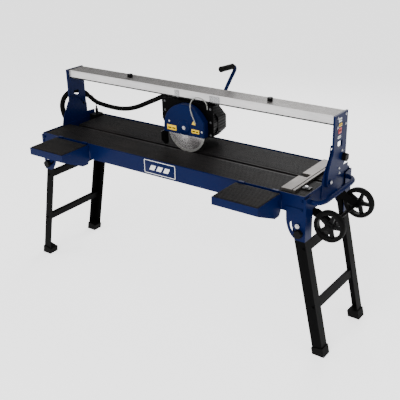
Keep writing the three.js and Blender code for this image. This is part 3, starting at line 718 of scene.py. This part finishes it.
def hex_bolt(across: float, height: float) -> Shape:
    """Makes a washer with a chamfered hexagon head and a domed end of thread.

    Args:
        across: The head's size over its corners.
        height: The head's height.

    Returns:
        The bolt, standing on its washer along +Z.
    """
    r = across / 2
    washer = Shape.turned([(0, 0), (r * 1.35, 0), (r * 1.35, height * 0.2), (0, height * 0.2)], 24)
    head = Shape.turned([(0, height * 0.2), (r, height * 0.2), (r, height * 0.85),
                         (r * 0.82, height), (0, height)], 6)
    stub = Shape.turned([(0, height * 0.9), (r * 0.42, height * 0.9), (r * 0.42, height * 1.25),
                         (r * 0.3, height * 1.35), (0, height * 1.35)], 12)
    return washer.join(head).join(stub)


def centre_of(node: str) -> Vector:
    """Gives the middle of a node's box."""
    low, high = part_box(node)
    return (low + high) / 2


def smooth_route(points: Sequence[Point], step: float) -> list[Vector]:
    """Draws one smooth line through chosen points.

    Args:
        points: The chosen points.
        step: The distance between the line's own points.

    Returns:
        The line's points, evenly spaced.
    """
    knots = [Vector(p) for p in points]
    knots = [2 * knots[0] - knots[1], *knots, 2 * knots[-1] - knots[-2]]
    fine: list[Vector] = []
    for a, b, c, d in zip(knots, knots[1:], knots[2:], knots[3:]):
        for i in range(24):
            t = i / 24
            fine.append(0.5 * (2 * b + (c - a) * t + (2 * a - 5 * b + 4 * c - d) * t * t
                               + (3 * b - a - 3 * c + d) * t ** 3))
    fine.append(knots[-2])
    spans = [(q - p).length for p, q in zip(fine, fine[1:])]
    total = sum(spans)
    count = max(8, round(total / step))
    line, walked, k = [fine[0]], 0.0, 0
    for i in range(1, count):
        target = total * i / count
        while walked + spans[k] < target:
            walked += spans[k]
            k += 1
        line.append(fine[k].lerp(fine[k + 1], (target - walked) / spans[k]))
    return [*line, fine[-1]]


def length_of(line: Sequence[Vector]) -> float:
    """Measures a line through its points."""
    return sum((q - p).length for p, q in zip(line, line[1:]))


# ------------------------------------------------------------------------- sub-assemblies


@dataclass
class CoatedFrame:
    """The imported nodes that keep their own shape."""

    nodes: dict
    finishes: Finishes

    def dress(self) -> None:
        """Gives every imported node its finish."""
        groups = {
            "blue": ("water_tub", "tilt_bracket", "upright", "blade_guard", "handle_rod",
                     "leg_bracket", "carry_handle", "tray_left", "tray_right"),
            "table": ("table_front", "table_rear", "tray_pad"),
            "black": ("carriage_frame", "wheel_carrier", "leg_front", "leg_rear", "brace"),
            "motor": ("motor_housing", "motor_cover"),
            "plastic": ("tilt_knob", "rail_knob", "leg_knob", "roller_set", "pump", "switch_box",
                        "wheel_front", "wheel_rear"),
            "rubber": ("foot", "splash_flap", "handle_grip", "conduit", "switch_rocker"),
            "aluminium": ("guide_rail",),
            "fence": ("fence",),
            "zinc": ("arbor", "fence_screw"),
            "blade": ("saw_blade",),
            "clear": ("pump_hose", "water_hose"),
        }
        for name, node in self.nodes.items():
            fitting = [(len(start), key) for key, starts in groups.items() for start in starts
                       if name.startswith(start)]
            node.data.materials.clear()
            node.data.materials.append(self.finishes[max(fitting)[1]])
            LOG.info("coated %s", name)


@dataclass
class Blade:
    """The diamond blade: a ground core with a segmented rim."""

    finishes: Finishes
    segments: int = 16
    rim_width: float = 0.010
    gap_share: float = 0.07
    rim_proud: float = 0.0003
    bore: float = 0.0127

    def build(self) -> None:
        """Makes the core and the rim."""
        low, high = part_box("saw_blade")
        radius = (high.x - low.x) / 2
        half = (high.y - low.y) / 2
        place = Facing.FRONT.at((low + high) / 2)
        root = radius - self.rim_width
        core = Shape.turned([(self.bore, -half), (root, -half), (root, half), (self.bore, half),
                             (self.bore, -half)], 96)
        disc = Shape().join(core, place).piece("blade_core", self.finishes["blade"], "blade_shaft",
                                               Slot.STEEL)
        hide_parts("saw_blade")
        rim = Shape()
        pitch = FULL_TURN / self.segments
        proud = half + self.rim_proud
        for i in range(self.segments):
            part = Shape.ring_part(root - 0.001, radius, -proud, proud, i * pitch,
                                   pitch * (1 - self.gap_share), 6)
            rim.join(part, place)
        rim.piece("blade_rim", self.finishes["rim"], "blade_shaft", Slot.STEEL)


@dataclass
class Head:
    """The cutting head's fittings: guard trim, motor ribs and vents, grip, bolts and labels."""

    finishes: Finishes
    body: str = "carriage"
    rib_count: int = 22
    vent_count: int = 7
    boss: float = 0.006
    arm_top: float = 0.066
    shoulder: float = 0.012
    sheet: float = 0.003
    fins: int = 4
    grip_rings: int = 9

    def guard(self) -> None:
        """Presses the guard: a domed shell with a soft shoulder, open below and behind."""
        low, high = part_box("blade_guard")
        hub = centre_of("saw_blade")
        depth = high.y - low.y - self.boss
        radius = hub.x - low.x
        rise = high.z - hub.z - radius
        bottom, reach = low.z - hub.z, high.x - hub.x
        start = math.asin((self.arm_top - rise) / radius)
        outline = [(-radius, bottom), (reach, bottom), (reach, self.arm_top)]
        outline += [(radius * math.cos(start + (math.pi - start) * i / 40),
                     rise + radius * math.sin(start + (math.pi - start) * i / 40)) for i in range(41)]
        shell = Shape.prism(outline, depth)
        top = [e for e in shell.bm.edges if all(v.co.z > depth - FLAT_WITHIN for v in e.verts)
               and not all(v.co.y < bottom + FLAT_WITHIN for v in e.verts)]
        bmesh.ops.bevel(shell.bm, geom=top, offset=self.shoulder, segments=5, profile=0.5,
                        affect="EDGES", material=-1, clamp_overlap=True)
        gone = [f for f in shell.bm.faces if all(v.co.z < FLAT_WITHIN for v in f.verts)
                or all(v.co.y < bottom + FLAT_WITHIN for v in f.verts)]
        bmesh.ops.delete(shell.bm, geom=gone, context="FACES")
        bmesh.ops.solidify(shell.bm, geom=shell.bm.faces[:], thickness=self.sheet)
        boss = Shape.turned([(0, -0.001), (0.040, -0.001), (0.038, 0.002), (0.033, 0.006), (0, 0.006)], 40)
        shell.join(boss, Matrix.Translation((0, 0.020, depth)))
        place = Facing.FRONT.at((hub.x, high.y, hub.z))
        piece = Shape().join(shell.outward(), place).piece("guard_shell", self.finishes["blue"], self.body,
                                                           Slot.BLUE, smooth=0.9)
        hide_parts("blade_guard")
        face = low.y + self.boss
        bolts = Shape()
        bolts.join(hex_bolt(0.015, 0.005), Facing.FRONT.at((hub.x + 0.004, low.y - 0.0003, hub.z + 0.020)))
        for dx, dz in ((0.112, 0.014), (-0.092, 0.040)):
            bolts.join(hex_bolt(0.008, 0.003), Facing.FRONT.at((hub.x + dx, face - 0.0003, hub.z + dz)))
        bolts.piece("guard_bolts", self.finishes["zinc"], self.body, Slot.STEEL)

    def labels(self) -> None:
        """Sticks plain coloured films on the guard, with no lettering."""
        hub = centre_of("saw_blade")
        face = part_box("blade_guard")[0].y + self.boss
        yellow = Shape()
        for x0, x1, z0, z1 in ((-0.107, -0.048, -0.006, 0.021), (0.048, 0.095, 0.000, 0.020)):
            yellow.join(Shape.block((hub.x + x0, face - 0.0008, hub.z + z0),
                                    (hub.x + x1, face + 0.0004, hub.z + z1), 0.0003))
        mark = Shape.prism([(0, 0), (0.024, 0), (0.012, 0.020)], 0.0009, 0.0003)
        yellow.join(mark, Facing.FRONT.at((hub.x + 0.050, face + 0.0002, hub.z + 0.044)))
        yellow.piece("guard_labels", self.finishes["yellow"], self.body, Slot.BLUE)
        print_lines = Shape()
        for x0, x1, z in ((-0.101, -0.080, 0.006), (-0.074, -0.054, 0.006), (0.054, 0.070, 0.010),
                          (0.074, 0.089, 0.010)):
            print_lines.join(Shape.block((hub.x + x0, face - 0.0012, hub.z + z - 0.003),
                                         (hub.x + x1, face - 0.0006, hub.z + z + 0.003), 0.0002))
        print_lines.piece("guard_label_marks", self.finishes["black"], self.body, Slot.BLACK)

    def motor(self) -> None:
        """Adds cooling ribs round the motor, and a vented, screwed end."""
        low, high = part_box("motor_housing")
        middle = (low + high) / 2
        radius = (high.x - low.x) / 2
        ribs = Shape()
        for i in range(self.rib_count):
            turn = Matrix.Rotation(FULL_TURN * i / self.rib_count, 4, "Y")
            rib = Shape.block((-0.0014, low.y - middle.y + 0.018, radius - 0.002),
                              (0.0014, high.y - middle.y - 0.006, radius + 0.004), 0.0006)
            ribs.join(rib, Matrix.Translation(middle) @ turn)
        start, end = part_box("motor_cover")
        flat = (end.x - start.x) / 2
        for side in range(8):
            turn = Matrix.Rotation(FULL_TURN * side / 8, 4, "Y")
            for i in range(self.fins):
                across = (i - (self.fins - 1) / 2) * 0.016
                fin = Shape.block((across - 0.0016, start.y - middle.y + 0.006, flat - 0.003),
                                  (across + 0.0016, end.y - middle.y - 0.020, flat + 0.003), 0.0008)
                ribs.join(fin, Matrix.Translation(middle) @ turn)
        ribs.piece("motor_ribs", self.finishes["motor"], self.body, Slot.MOTOR)
        back = Vector((middle.x, end.y, middle.z))
        vents = Shape()
        for i in range(self.vent_count):
            z = (i - (self.vent_count - 1) / 2) * 0.012
            reach = math.sqrt(0.056 ** 2 - z * z)
            vents.join(Shape.block((-reach, -0.0006, z - 0.0028), (reach, 0.0016, z + 0.0028), 0.0012),
                       Matrix.Translation(back))
        vents.join(Shape.turned([(0.058, 0), (0.063, 0), (0.063, 0.0022), (0.058, 0.0022), (0.058, 0)],
                                48), Facing.BACK.at(back))
        vents.piece("motor_vents", self.finishes["plastic"], self.body, Slot.PLASTIC)
        box_low = Vector((middle.x - 0.034, middle.y - 0.042, high.z - 0.004))
        terminal = Shape.block(box_low, box_low + Vector((0.068, 0.078, 0.030)), 0.004)
        terminal.piece("motor_terminal_box", self.finishes["plastic"], self.body, Slot.PLASTIC)
        screws = Shape()
        for dx, dy in ((0.007, 0.007), (0.061, 0.007), (0.007, 0.071), (0.061, 0.071)):
            screws.join(hex_bolt(0.006, 0.002), Facing.UP.at(box_low + Vector((dx, dy, 0.0299))))
        screws.piece("motor_screws", self.finishes["zinc"], self.body, Slot.STEEL)

    def grip(self) -> None:
        """Moulds the handle's grip, with rings for the fingers and a flange at its root."""
        low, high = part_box("handle_grip")
        radius = (high.x - low.x) / 2
        end = Vector((centre_of("handle_grip").x, low.y, high.z - radius))
        root = Vector((end.x, high.y, low.z + radius))
        along = end - root
        profile = [(0.0, 0.0), (radius, 0.0), (radius, 0.005), (radius * 0.86, 0.008)]
        for i in range(self.grip_rings):
            z = 0.014 + (along.length - 0.024) * i / self.grip_rings
            profile += [(radius * 0.86, z), (radius * 0.95, z + 0.002), (radius * 0.95, z + 0.007),
                        (radius * 0.86, z + 0.009)]
        profile += [(radius, along.length - 0.008), (radius, along.length - 0.003),
                    (radius * 0.7, along.length), (0.0, along.length)]
        turn = along.to_track_quat("Z", "Y").to_matrix().to_4x4()
        sleeve = Shape().join(Shape.turned(profile, 28), Matrix.Translation(root) @ turn)
        piece = sleeve.piece("grip_sleeve", self.finishes["rubber"], self.body, Slot.RUBBER)
        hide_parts("handle_grip")

    def plate_bolts(self) -> None:
        """Bolts the carriage plate, the flap and the handle's foot."""
        low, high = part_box("carriage_frame")
        bolts = Shape()
        for x, z in ((low.x + 0.030, high.z - 0.050), (high.x - 0.016, high.z - 0.052),
                     (high.x - 0.016, high.z - 0.120), (low.x + 0.030, high.z - 0.098),
                     (high.x - 0.016, high.z - 0.186)):
            bolts.join(hex_bolt(0.009, 0.004), Facing.FRONT.at((x, low.y - SEAT, z)))
        flap_low, flap_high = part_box("splash_flap")
        for y in (flap_low.y + 0.014, flap_high.y - 0.016):
            bolts.join(hex_bolt(0.008, 0.003), Facing.LEFT.at((flap_low.x - SEAT, y, flap_high.z - 0.010)))
        bolts.piece("carriage_bolts", self.finishes["dull_steel"], self.body, Slot.STEEL)
        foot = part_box("handle_rod")[0]
        collar = Shape.turned([(0, 0), (0.0135, 0), (0.0135, 0.005), (0.0115, 0.010), (0.0115, 0.013),
                               (0, 0.013)], 24)
        spot = (centre_of("handle_rod").x, foot.y + 0.0095, foot.z + 0.0001)
        Shape().join(collar, Facing.UP.at(spot)).piece("handle_collar", self.finishes["zinc"],
                                                       self.body, Slot.STEEL)
        clip = Shape.block((flap_low.x - 0.0015, flap_low.y + 0.002, flap_high.z - 0.020),
                           (flap_low.x - 0.0001, flap_high.y - 0.002, flap_high.z), 0.0004)
        clip.piece("flap_clamp", self.finishes["zinc"], self.body, Slot.STEEL)

    def build(self) -> None:
        """Makes all the head's fittings."""
        self.guard()
        self.labels()
        self.motor()
        self.grip()
        self.plate_bolts()


@dataclass
class Wheel:
    """A transport wheel: solid tyre, thin rim, hub and five webbed spokes."""

    side: str
    finishes: Finishes
    spokes: int = 5
    tyre: float = 0.014
    hub: float = 0.020
    crown: float = 0.004

    def build(self) -> None:
        """Makes the tyre, the wheel and its cap."""
        node = f"wheel_{self.side}"
        low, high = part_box(node)
        centre = (low + high) / 2
        radius = (high.x - low.x) / 2
        half = (high.y - low.y) / 2
        place = Facing.FRONT.at(centre)
        inner = radius - self.tyre
        tyre = Shape.turned([(inner, -half), (radius - self.crown, -half), (radius - 0.001, -half * 0.7),
                             (radius, -half * 0.3), (radius, half * 0.3), (radius - 0.001, half * 0.7),
                             (radius - self.crown, half), (inner, half), (inner, -half)], 64)
        Shape().join(tyre, place).piece(f"{node}_tyre", self.finishes["rubber"], node, Slot.RUBBER)
        rim = inner - 0.006
        web = half * 0.55
        body = Shape.turned([(rim, -half * 0.9), (inner, -half * 0.9), (inner, half * 0.9),
                             (rim, half * 0.9), (rim, -half * 0.9)], 64)
        body.join(Shape.turned([(0.0075, -half), (self.hub, -half * 0.94), (self.hub, half * 0.94),
                                (0.0075, half), (0.0075, -half)], 32))
        for i in range(self.spokes):
            turn = Matrix.Rotation(FULL_TURN * i / self.spokes, 4, "Z")
            flat = [(self.hub - 0.003, -0.010), (rim + 0.002, -0.0065), (rim + 0.002, 0.0065),
                    (self.hub - 0.003, 0.010)]
            spoke = Shape.prism(flat, 2 * web, 0.0012)
            body.join(spoke, turn @ Matrix.Translation((0, 0, -web)))
        piece = Shape().join(body, place).piece(f"{node}_rim", self.finishes["plastic"], node,
                                                Slot.PLASTIC)
        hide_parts(node)
        outside = Facing.FRONT if self.side == "front" else Facing.BACK
        sign = outside.value[1]
        axle_end = centre + Vector((0, sign * (half + 0.0031), 0))
        cap = Shape.turned([(0.0, 0.0), (0.011, 0.0), (0.011, 0.0025), (0.007, 0.0055), (0.0, 0.0065)], 24)
        Shape().join(cap, outside.at(axle_end)).piece(f"axle_cap_{self.side}", self.finishes["plastic"],
                                                      "base", Slot.PLASTIC)


@dataclass
class Bridge:
    """Fittings of the uprights and the guide rail."""

    finishes: Finishes
    pivot_head: float = 0.006

    def upright(self, end: str) -> None:
        """Bolts and labels one upright.

        Args:
            end: "left" or "right".
        """
        low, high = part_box(f"upright_{end}")
        right = end == "right"
        facing = Facing.RIGHT if right else Facing.LEFT
        web = high.x - self.pivot_head if right else low.x + self.pivot_head
        sign = 1 if right else -1
        rail_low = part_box("guide_rail")[0]
        bolts = Shape()
        for dy, dz in ((0.012, -0.012), (0.092, -0.012), (0.012, 0.033), (0.092, 0.033),
                       (0.070, -0.134), (0.050, -0.215), (0.054, -0.240)):
            spot = (web + sign * SEAT, rail_low.y + dy, rail_low.z + dz)
            bolts.join(hex_bolt(0.009, 0.0035), facing.at(spot))
        tub_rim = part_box("water_tub")[1].z
        pivot = (web + sign * (self.pivot_head + SEAT), centre_of("saw_blade").y, tub_rim)
        bolts.join(hex_bolt(0.014, 0.004), facing.at(pivot))
        bolts.piece(f"upright_bolts_{end}", self.finishes["zinc"], "bridge", Slot.STEEL)
        if not right:
            return
        films = (("white", -0.002, 0.010, 0.018), ("red", 0.0, -0.044, 0.026),
                 ("white", -0.004, -0.066, 0.012), ("yellow", 0.002, -0.012, 0.014))
        for i, (color, dy, z0, tall) in enumerate(films):
            base = Vector((web, rail_low.y + 0.024 + dy, rail_low.z + z0))
            far = (web + 0.0008, base.y + 0.028, base.z + tall)
            film = Shape.block((web - 0.0002, base.y, base.z), far, 0.0002)
            film.piece(f"upright_label_{i + 1}", self.finishes[color], "bridge", Slot.BLUE)
            mark = Shape()
            for k in range(2):
                y = base.y + 0.005 + 0.011 * k
                mark.join(Shape.block((web + 0.0006, y, base.z + tall * 0.3),
                                      (web + 0.0012, y + 0.007, base.z + tall * 0.7), 0.0002))
            mark.piece(f"upright_label_marks_{i + 1}", self.finishes["black"], "bridge", Slot.BLACK)

    def rail(self) -> None:
        """Adds the rail's dark seal strip, its bead, its clear scale cover and a clear clip."""
        low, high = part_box("guide_rail")
        middle = centre_of("saw_blade").x
        left, right = low.x + 0.004, high.x - 0.004
        strips = (
            ("seal", "rubber", Slot.RUBBER, (left, 0.0018, low.z + 0.0006),
             (right, 0.0001, low.z + 0.0062), 0.0005),
            ("bead", "aluminium", Slot.ALUMINIUM, (left, 0.0010, high.z - 0.0072),
             (right, 0.0001, high.z - 0.0050), 0.0003),
            ("scale_cover", "cover", Slot.CLEAR, (middle + 0.122, 0.004, low.z + 0.006),
             (middle + 0.182, SEAT, high.z - 0.008), 0.001),
            ("clip", "cover", Slot.CLEAR, (middle - 0.095, 0.005, low.z + 0.004),
             (middle - 0.068, SEAT, high.z - 0.006), 0.002),
        )
        for name, finish, slot, (x0, proud, z0), (x1, seat, z1), round_off in strips:
            strip = Shape.block((x0, low.y - proud, z0), (x1, low.y - seat, z1), round_off)
            strip.piece(f"rail_{name}", self.finishes[finish], "bridge", slot)

    def build(self) -> None:
        """Makes the bridge's fittings."""
        self.upright("left")
        self.upright("right")
        self.rail()


@dataclass
class Stand:
    """Bolts of the legs and their brackets, and the tub's emblem, rim fold, pump ribs and drain plug."""

    finishes: Finishes
    emblem_width: float = 0.196
    emblem_height: float = 0.070
    pin_reach: float = 0.0129
    pivot_inset: float = 0.03826

    def bracket(self, side: str, end: str) -> None:
        """Bolts one leg bracket to the tub.

        Args:
            side: "front" or "rear".
            end: "left" or "right".
        """
        low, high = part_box(f"leg_bracket_{side}_{end}")
        front = side == "front"
        facing = Facing.FRONT if front else Facing.BACK
        face = low.y - SEAT if front else high.y + SEAT
        inward = -1 if end == "right" else 1
        outer = high.x if end == "right" else low.x
        bolts = Shape()
        for dz in (0.150, 0.192):
            bolts.join(hex_bolt(0.010, 0.004), facing.at((outer + inward * 0.020, face, low.z + dz)))
        bolts.piece(f"bracket_bolts_{side}_{end}", self.finishes["blue"], "base", Slot.BLUE)

    def leg_bolts(self, end: str) -> None:
        """Bolts the braces to both legs of one frame, through the legs' outer faces.

        Args:
            end: "left" or "right".
        """
        bolts = Shape()
        for level in ("upper", "lower"):
            low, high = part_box(f"brace_{level}_{end}")
            middle = (low + high) / 2
            for facing, y in ((Facing.FRONT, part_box(f"leg_front_{end}")[0].y),
                              (Facing.BACK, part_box(f"leg_rear_{end}")[1].y)):
                pin = facing.value[1] * self.pin_reach
                bolts.join(hex_bolt(0.012, 0.0045), facing.at((middle.x, y - pin, middle.z)))
        bolts.piece(f"brace_bolts_{end}", self.finishes["black"], f"leg_frame_{end}", Slot.BLACK)
        caps = Shape()
        wheel = centre_of("wheel_front")
        leg_low, leg_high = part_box(f"leg_front_{end}")
        x = leg_low.x + self.pivot_inset if end == "right" else leg_high.x - self.pivot_inset
        for facing, y in ((Facing.FRONT, leg_low.y), (Facing.BACK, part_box(f"leg_rear_{end}")[1].y)):
            caps.join(hex_bolt(0.016, 0.004), facing.at((x, y + facing.value[1] * SEAT, wheel.z)))
        caps.piece(f"pivot_caps_{end}", self.finishes["zinc"], f"leg_frame_{end}", Slot.STEEL)

    def emblem(self) -> None:
        """Sets a plain maker's panel on the tub's front: a frame and three slanted bars."""
        low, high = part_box("water_tub")
        middle = (low.x + high.x) / 2 + 0.014
        z0 = low.z + 0.010
        face = low.y
        w, h = self.emblem_width, self.emblem_height
        plate = Shape.block((middle - w / 2, face - 0.0018, z0), (middle + w / 2, face - 0.0001, z0 + h),
                            0.0006)
        plate.piece("emblem_panel", self.finishes["blue"], "base", Slot.BLUE)
        border = Shape()
        for x0, x1, b0, b1 in ((0, w, 0, 0.0028), (0, w, h - 0.0028, h), (0, 0.0028, 0, h),
                               (w - 0.0028, w, 0, h)):
            border.join(Shape.block((middle - w / 2 + x0, face - 0.0027, z0 + b0),
                                    (middle - w / 2 + x1, face - 0.0016, z0 + b1), 0.0003))
        for i in range(3):
            bar = Shape.prism([(0, 0), (0.030, 0), (0.044, 0.026), (0.014, 0.026)], 0.0010, 0.0003)
            border.join(bar, Facing.FRONT.at((middle - 0.066 + 0.044 * i, face - 0.0017, z0 + 0.020)))
        border.piece("emblem_trim", self.finishes["white"], "base", Slot.BLUE)

    def tub_details(self) -> None:
        """Rolls the tub's rim, ribs the pump and fits a drain plug."""
        low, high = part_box("water_tub")
        rolled = Shape()
        for y0, y1 in ((low.y - 0.0016, low.y - 0.0001), (high.y + 0.0001, high.y + 0.0016)):
            rolled.join(Shape.block((low.x + 0.10, y0, high.z - 0.007), (high.x - 0.10, y1, high.z - 0.001),
                                    0.0005))
        pump_low, pump_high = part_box("pump")
        ribs = Shape()
        for i in range(4):
            y = pump_low.y + 0.010 + 0.0145 * i
            ribs.join(Shape.block((pump_low.x - 0.0025, y, pump_low.z + 0.02),
                                  (pump_low.x + 0.001, y + 0.005, pump_high.z - 0.055), 0.001))
            ribs.join(Shape.block((pump_high.x - 0.001, y, pump_low.z + 0.085),
                                  (pump_high.x + 0.0025, y + 0.005, pump_high.z - 0.050), 0.001))
        ribs.piece("pump_ribs", self.finishes["plastic"], "base", Slot.PLASTIC)
        rolled.piece("tub_rim_fold", self.finishes["blue"], "base", Slot.BLUE)
        plug = Shape.turned([(0, 0), (0.016, 0), (0.016, 0.005), (0.010, 0.007), (0.010, 0.014),
                             (0.007, 0.016), (0, 0.016)], 24)
        spot = (low.x + 0.30, 0.5 * (low.y + high.y), low.z - 0.0001)
        Shape().join(plug, Facing.DOWN.at(spot)).piece("drain_plug", self.finishes["rubber"], "base",
                                                       Slot.RUBBER)

    def build(self) -> None:
        """Makes the stand's fittings."""
        for end in ("left", "right"):
            self.leg_bolts(end)
            for side in ("front", "rear"):
                self.bracket(side, end)
        self.emblem()
        self.tub_details()


@dataclass
class Lines:
    """The corrugated conduit and the clear hoses, with their glands."""

    finishes: Finishes
    conduit_radius: float = 0.013
    loop_radius: float = 0.016
    ripple: float = 0.0017
    pitch: float = 0.0068
    hose_radius: float = 0.003
    origin: Point = (-0.018144, 0.086680, -0.015)

    def route(self, points: Sequence[Point]) -> list[Point]:
        """Moves a route from the drawing's own origin, in millimetres, to the frame's, in metres."""
        return [tuple(v / 1000 + o for v, o in zip(p, self.origin)) for p in points]

    def conduit(self, name: str, points: Sequence[Point], bodies: tuple[str, str],
                ends: tuple[int, int], radius: float) -> None:
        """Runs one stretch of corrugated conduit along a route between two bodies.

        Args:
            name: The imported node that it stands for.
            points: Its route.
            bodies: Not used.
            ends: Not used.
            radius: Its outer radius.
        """
        knots = self.route(points)
        line = smooth_route(knots, self.pitch / 4)
        wave = (1.0, 0.55, 0.0, 0.55)
        radii = [radius - self.ripple * (1 - wave[i % 4]) for i in range(len(line))]
        piece = Shape.tube(line, radii, 16).piece(f"{name}_corrugated", self.finishes["rubber"], None,
                                                  Slot.RUBBER, smooth=1.2)
        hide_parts(name)
        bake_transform(piece)
        length_of(line)
        line[::4] + [line[-1]]

    def hose(self, name: str, points: Sequence[Point], bodies: tuple[str, ...]) -> None:
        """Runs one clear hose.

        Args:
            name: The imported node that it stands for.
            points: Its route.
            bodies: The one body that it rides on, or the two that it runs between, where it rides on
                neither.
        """
        knots = self.route(points)
        line = smooth_route(knots, self.hose_radius)
        body = bodies[0] if len(bodies) == 1 else None
        piece = Shape.tube(line, [self.hose_radius] * len(line), 14).piece(
            f"{name}_clear", self.finishes["clear"], body, Slot.CLEAR, smooth=1.2)
        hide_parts(name)
        if body is None:
            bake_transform(piece)
        length_of(line)

    def gland(self, name: str, point: Point, facing: Facing, body: str, radius: float) -> None:
        """Screws a ribbed gland nut where a conduit enters.

        Args:
            name: The piece's name.
            point: The conduit's end.
            facing: The way that the conduit leaves.
            body: The body that it rides on.
            radius: The conduit's radius.
        """
        r = radius
        nut = Shape.turned([(r + 0.0006, 0), (r + 0.006, 0), (r + 0.006, 0.009), (r + 0.003, 0.011),
                            (r + 0.003, 0.018), (r + 0.0006, 0.022), (r + 0.0006, 0)], 12)
        spot = self.route([point])[0]
        Shape().join(nut, facing.at(spot)).piece(name, self.finishes["plastic"], body, Slot.PLASTIC)

    def build(self) -> None:
        """Lays every line."""
        loop = [(-860, 12, 755.6), (-860, 12, 772), (-866, 13, 790), (-886, 17, 814), (-908, 24, 846),
                (-922, 36, 884), (-920, 58, 922), (-903, 92, 949), (-880, 127, 952), (-856, 152, 938),
                (-831.5, 160.5, 921)]
        span = [(-830.5, 161, 920.1), (-816.3, 164.6, 910.3), (-793, 163, 899), (-750, 154, 891),
                (-690, 143, 889), (-620, 134, 889), (-545, 125, 894), (-465, 114, 910),
                (-385, 103, 938), (-305, 92, 975), (-240, 83, 1005), (-196, 76, 1026),
                (-170, 75, 1031), (-150.5, 75, 1031)]
        pump = [(-788, 178, 859.3), (-788, 178.4, 866), (-794, 184, 879), (-806, 189, 892),
                (-819, 189, 905), (-829, 185, 918)]
        water = [(150, 3, 1030), (151, 1, 1044), (150, -8, 1066), (136, -16, 1084), (112, -20, 1090),
                 (88, -24, 1082), (76, -34, 1060), (80, -42, 1030), (92, -44, 1000), (102, -42, 975),
                 (106, -38, 960)]
        self.conduit("conduit_loop", loop, ("base", "bridge"), (1, -1), self.loop_radius)
        self.conduit("conduit_span", span, ("bridge", "carriage"), (1, -2), self.conduit_radius)
        self.hose("pump_hose", pump, ("base", "bridge"))
        self.hose("water_hose", water, ("carriage",))
        self.gland("switch_gland", loop[0], Facing.UP, "base", self.loop_radius)
        self.gland("carriage_gland", span[-1], Facing.LEFT, "carriage", self.conduit_radius)


@dataclass
class Studio:
    """The floor, the lights and the camera."""

    position: Point = (2.11956, -2.63562, 2.0438)
    azimuth: float = 36.93
    elevation: float = 24.18
    roll: float = -1.67
    lens: float = 64.1

    def camera(self) -> None:
        """Sets the camera, turned by azimuth, elevation and a slight roll."""
        az, el, roll = (math.radians(a) for a in (self.azimuth, self.elevation, self.roll))
        back = Vector((math.sin(az) * math.cos(el), -math.cos(az) * math.cos(el), math.sin(el)))
        right = Vector((math.cos(az), math.sin(az), 0.0))
        up = back.cross(right)
        across = right * math.cos(roll) + up * math.sin(roll)
        above = up * math.cos(roll) - right * math.sin(roll)
        data = bpy.data.cameras.new("camera")
        data.lens = self.lens
        data.sensor_width = 36.0
        data.clip_end = 200.0
        made = in_scene("camera", data)
        turn = Matrix((across, above, back)).transposed().to_4x4()
        made.matrix_world = Matrix.Translation(self.position) @ turn
        bpy.context.scene.camera = made

    def floor(self) -> None:
        """Lays the pale floor."""
        bm = bmesh.new()
        bmesh.ops.create_grid(bm, x_segments=1, y_segments=1, size=40.0)
        mesh = bpy.data.meshes.new("floor")
        bm.to_mesh(mesh)
        bm.free()
        mesh.materials.append(Coat("pale floor", (0.86, 0.86, 0.86), (0.8, 0.8, 0.8), 0.8,
                                   relief=0.0, dust=0.1, glow=1.5).build())
        in_scene("floor", mesh)

    def light(self, name: str, place: Point, size: float, power: float) -> None:
        """Hangs a soft light that looks at the machine.

        Args:
            name: Its name.
            place: Where it hangs.
            size: The width of its panel.
            power: Its power, in watts.
        """
        data = bpy.data.lights.new(name, "AREA")
        data.size = size
        data.energy = power
        made = in_scene(name, data)
        aim = Vector((0, 0, 0.6)) - Vector(place)
        turn = aim.to_track_quat("-Z", "Y").to_matrix().to_4x4()
        made.matrix_world = Matrix.Translation(place) @ turn

    def build(self) -> None:
        """Sets the whole studio."""
        self.camera()
        self.floor()
        self.light("key", (0.6, -3.4, 3.4), 2.2, 150.0)
        self.light("fill", (-3.2, -2.2, 2.6), 2.6, 35.0)
        self.light("rim", (-0.7, 3.2, 2.7), 2.0, 80.0)
        self.light("low", (3.4, -0.4, 1.2), 1.8, 16.0)
        world = bpy.data.worlds.new("studio")
        world.use_nodes = True
        sky = world.node_tree.nodes["Background"].inputs
        sky["Color"].default_value = (1.0, 1.0, 1.0, 1.0)
        sky["Strength"].default_value = 0.75
        bpy.context.scene.world = world


def main() -> None:
    """Builds the machine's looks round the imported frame."""
    logging.basicConfig(level=logging.INFO, format="%(message)s")
    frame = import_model()
    Studio().build()
    fence_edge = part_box("fence")[0].x + FENCE_BAR_WIDTH
    finishes = Finishes(tuple(centre_of("saw_blade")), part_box("guide_rail")[1].z, fence_edge)
    Lines(finishes).build()
    CoatedFrame(frame["nodes"], finishes).dress()
    Blade(finishes).build()
    Head(finishes).build()
    Wheel("front", finishes).build()
    Wheel("rear", finishes).build()
    Bridge(finishes).build()
    Stand(finishes).build()


if __name__ == "__main__":
    main()
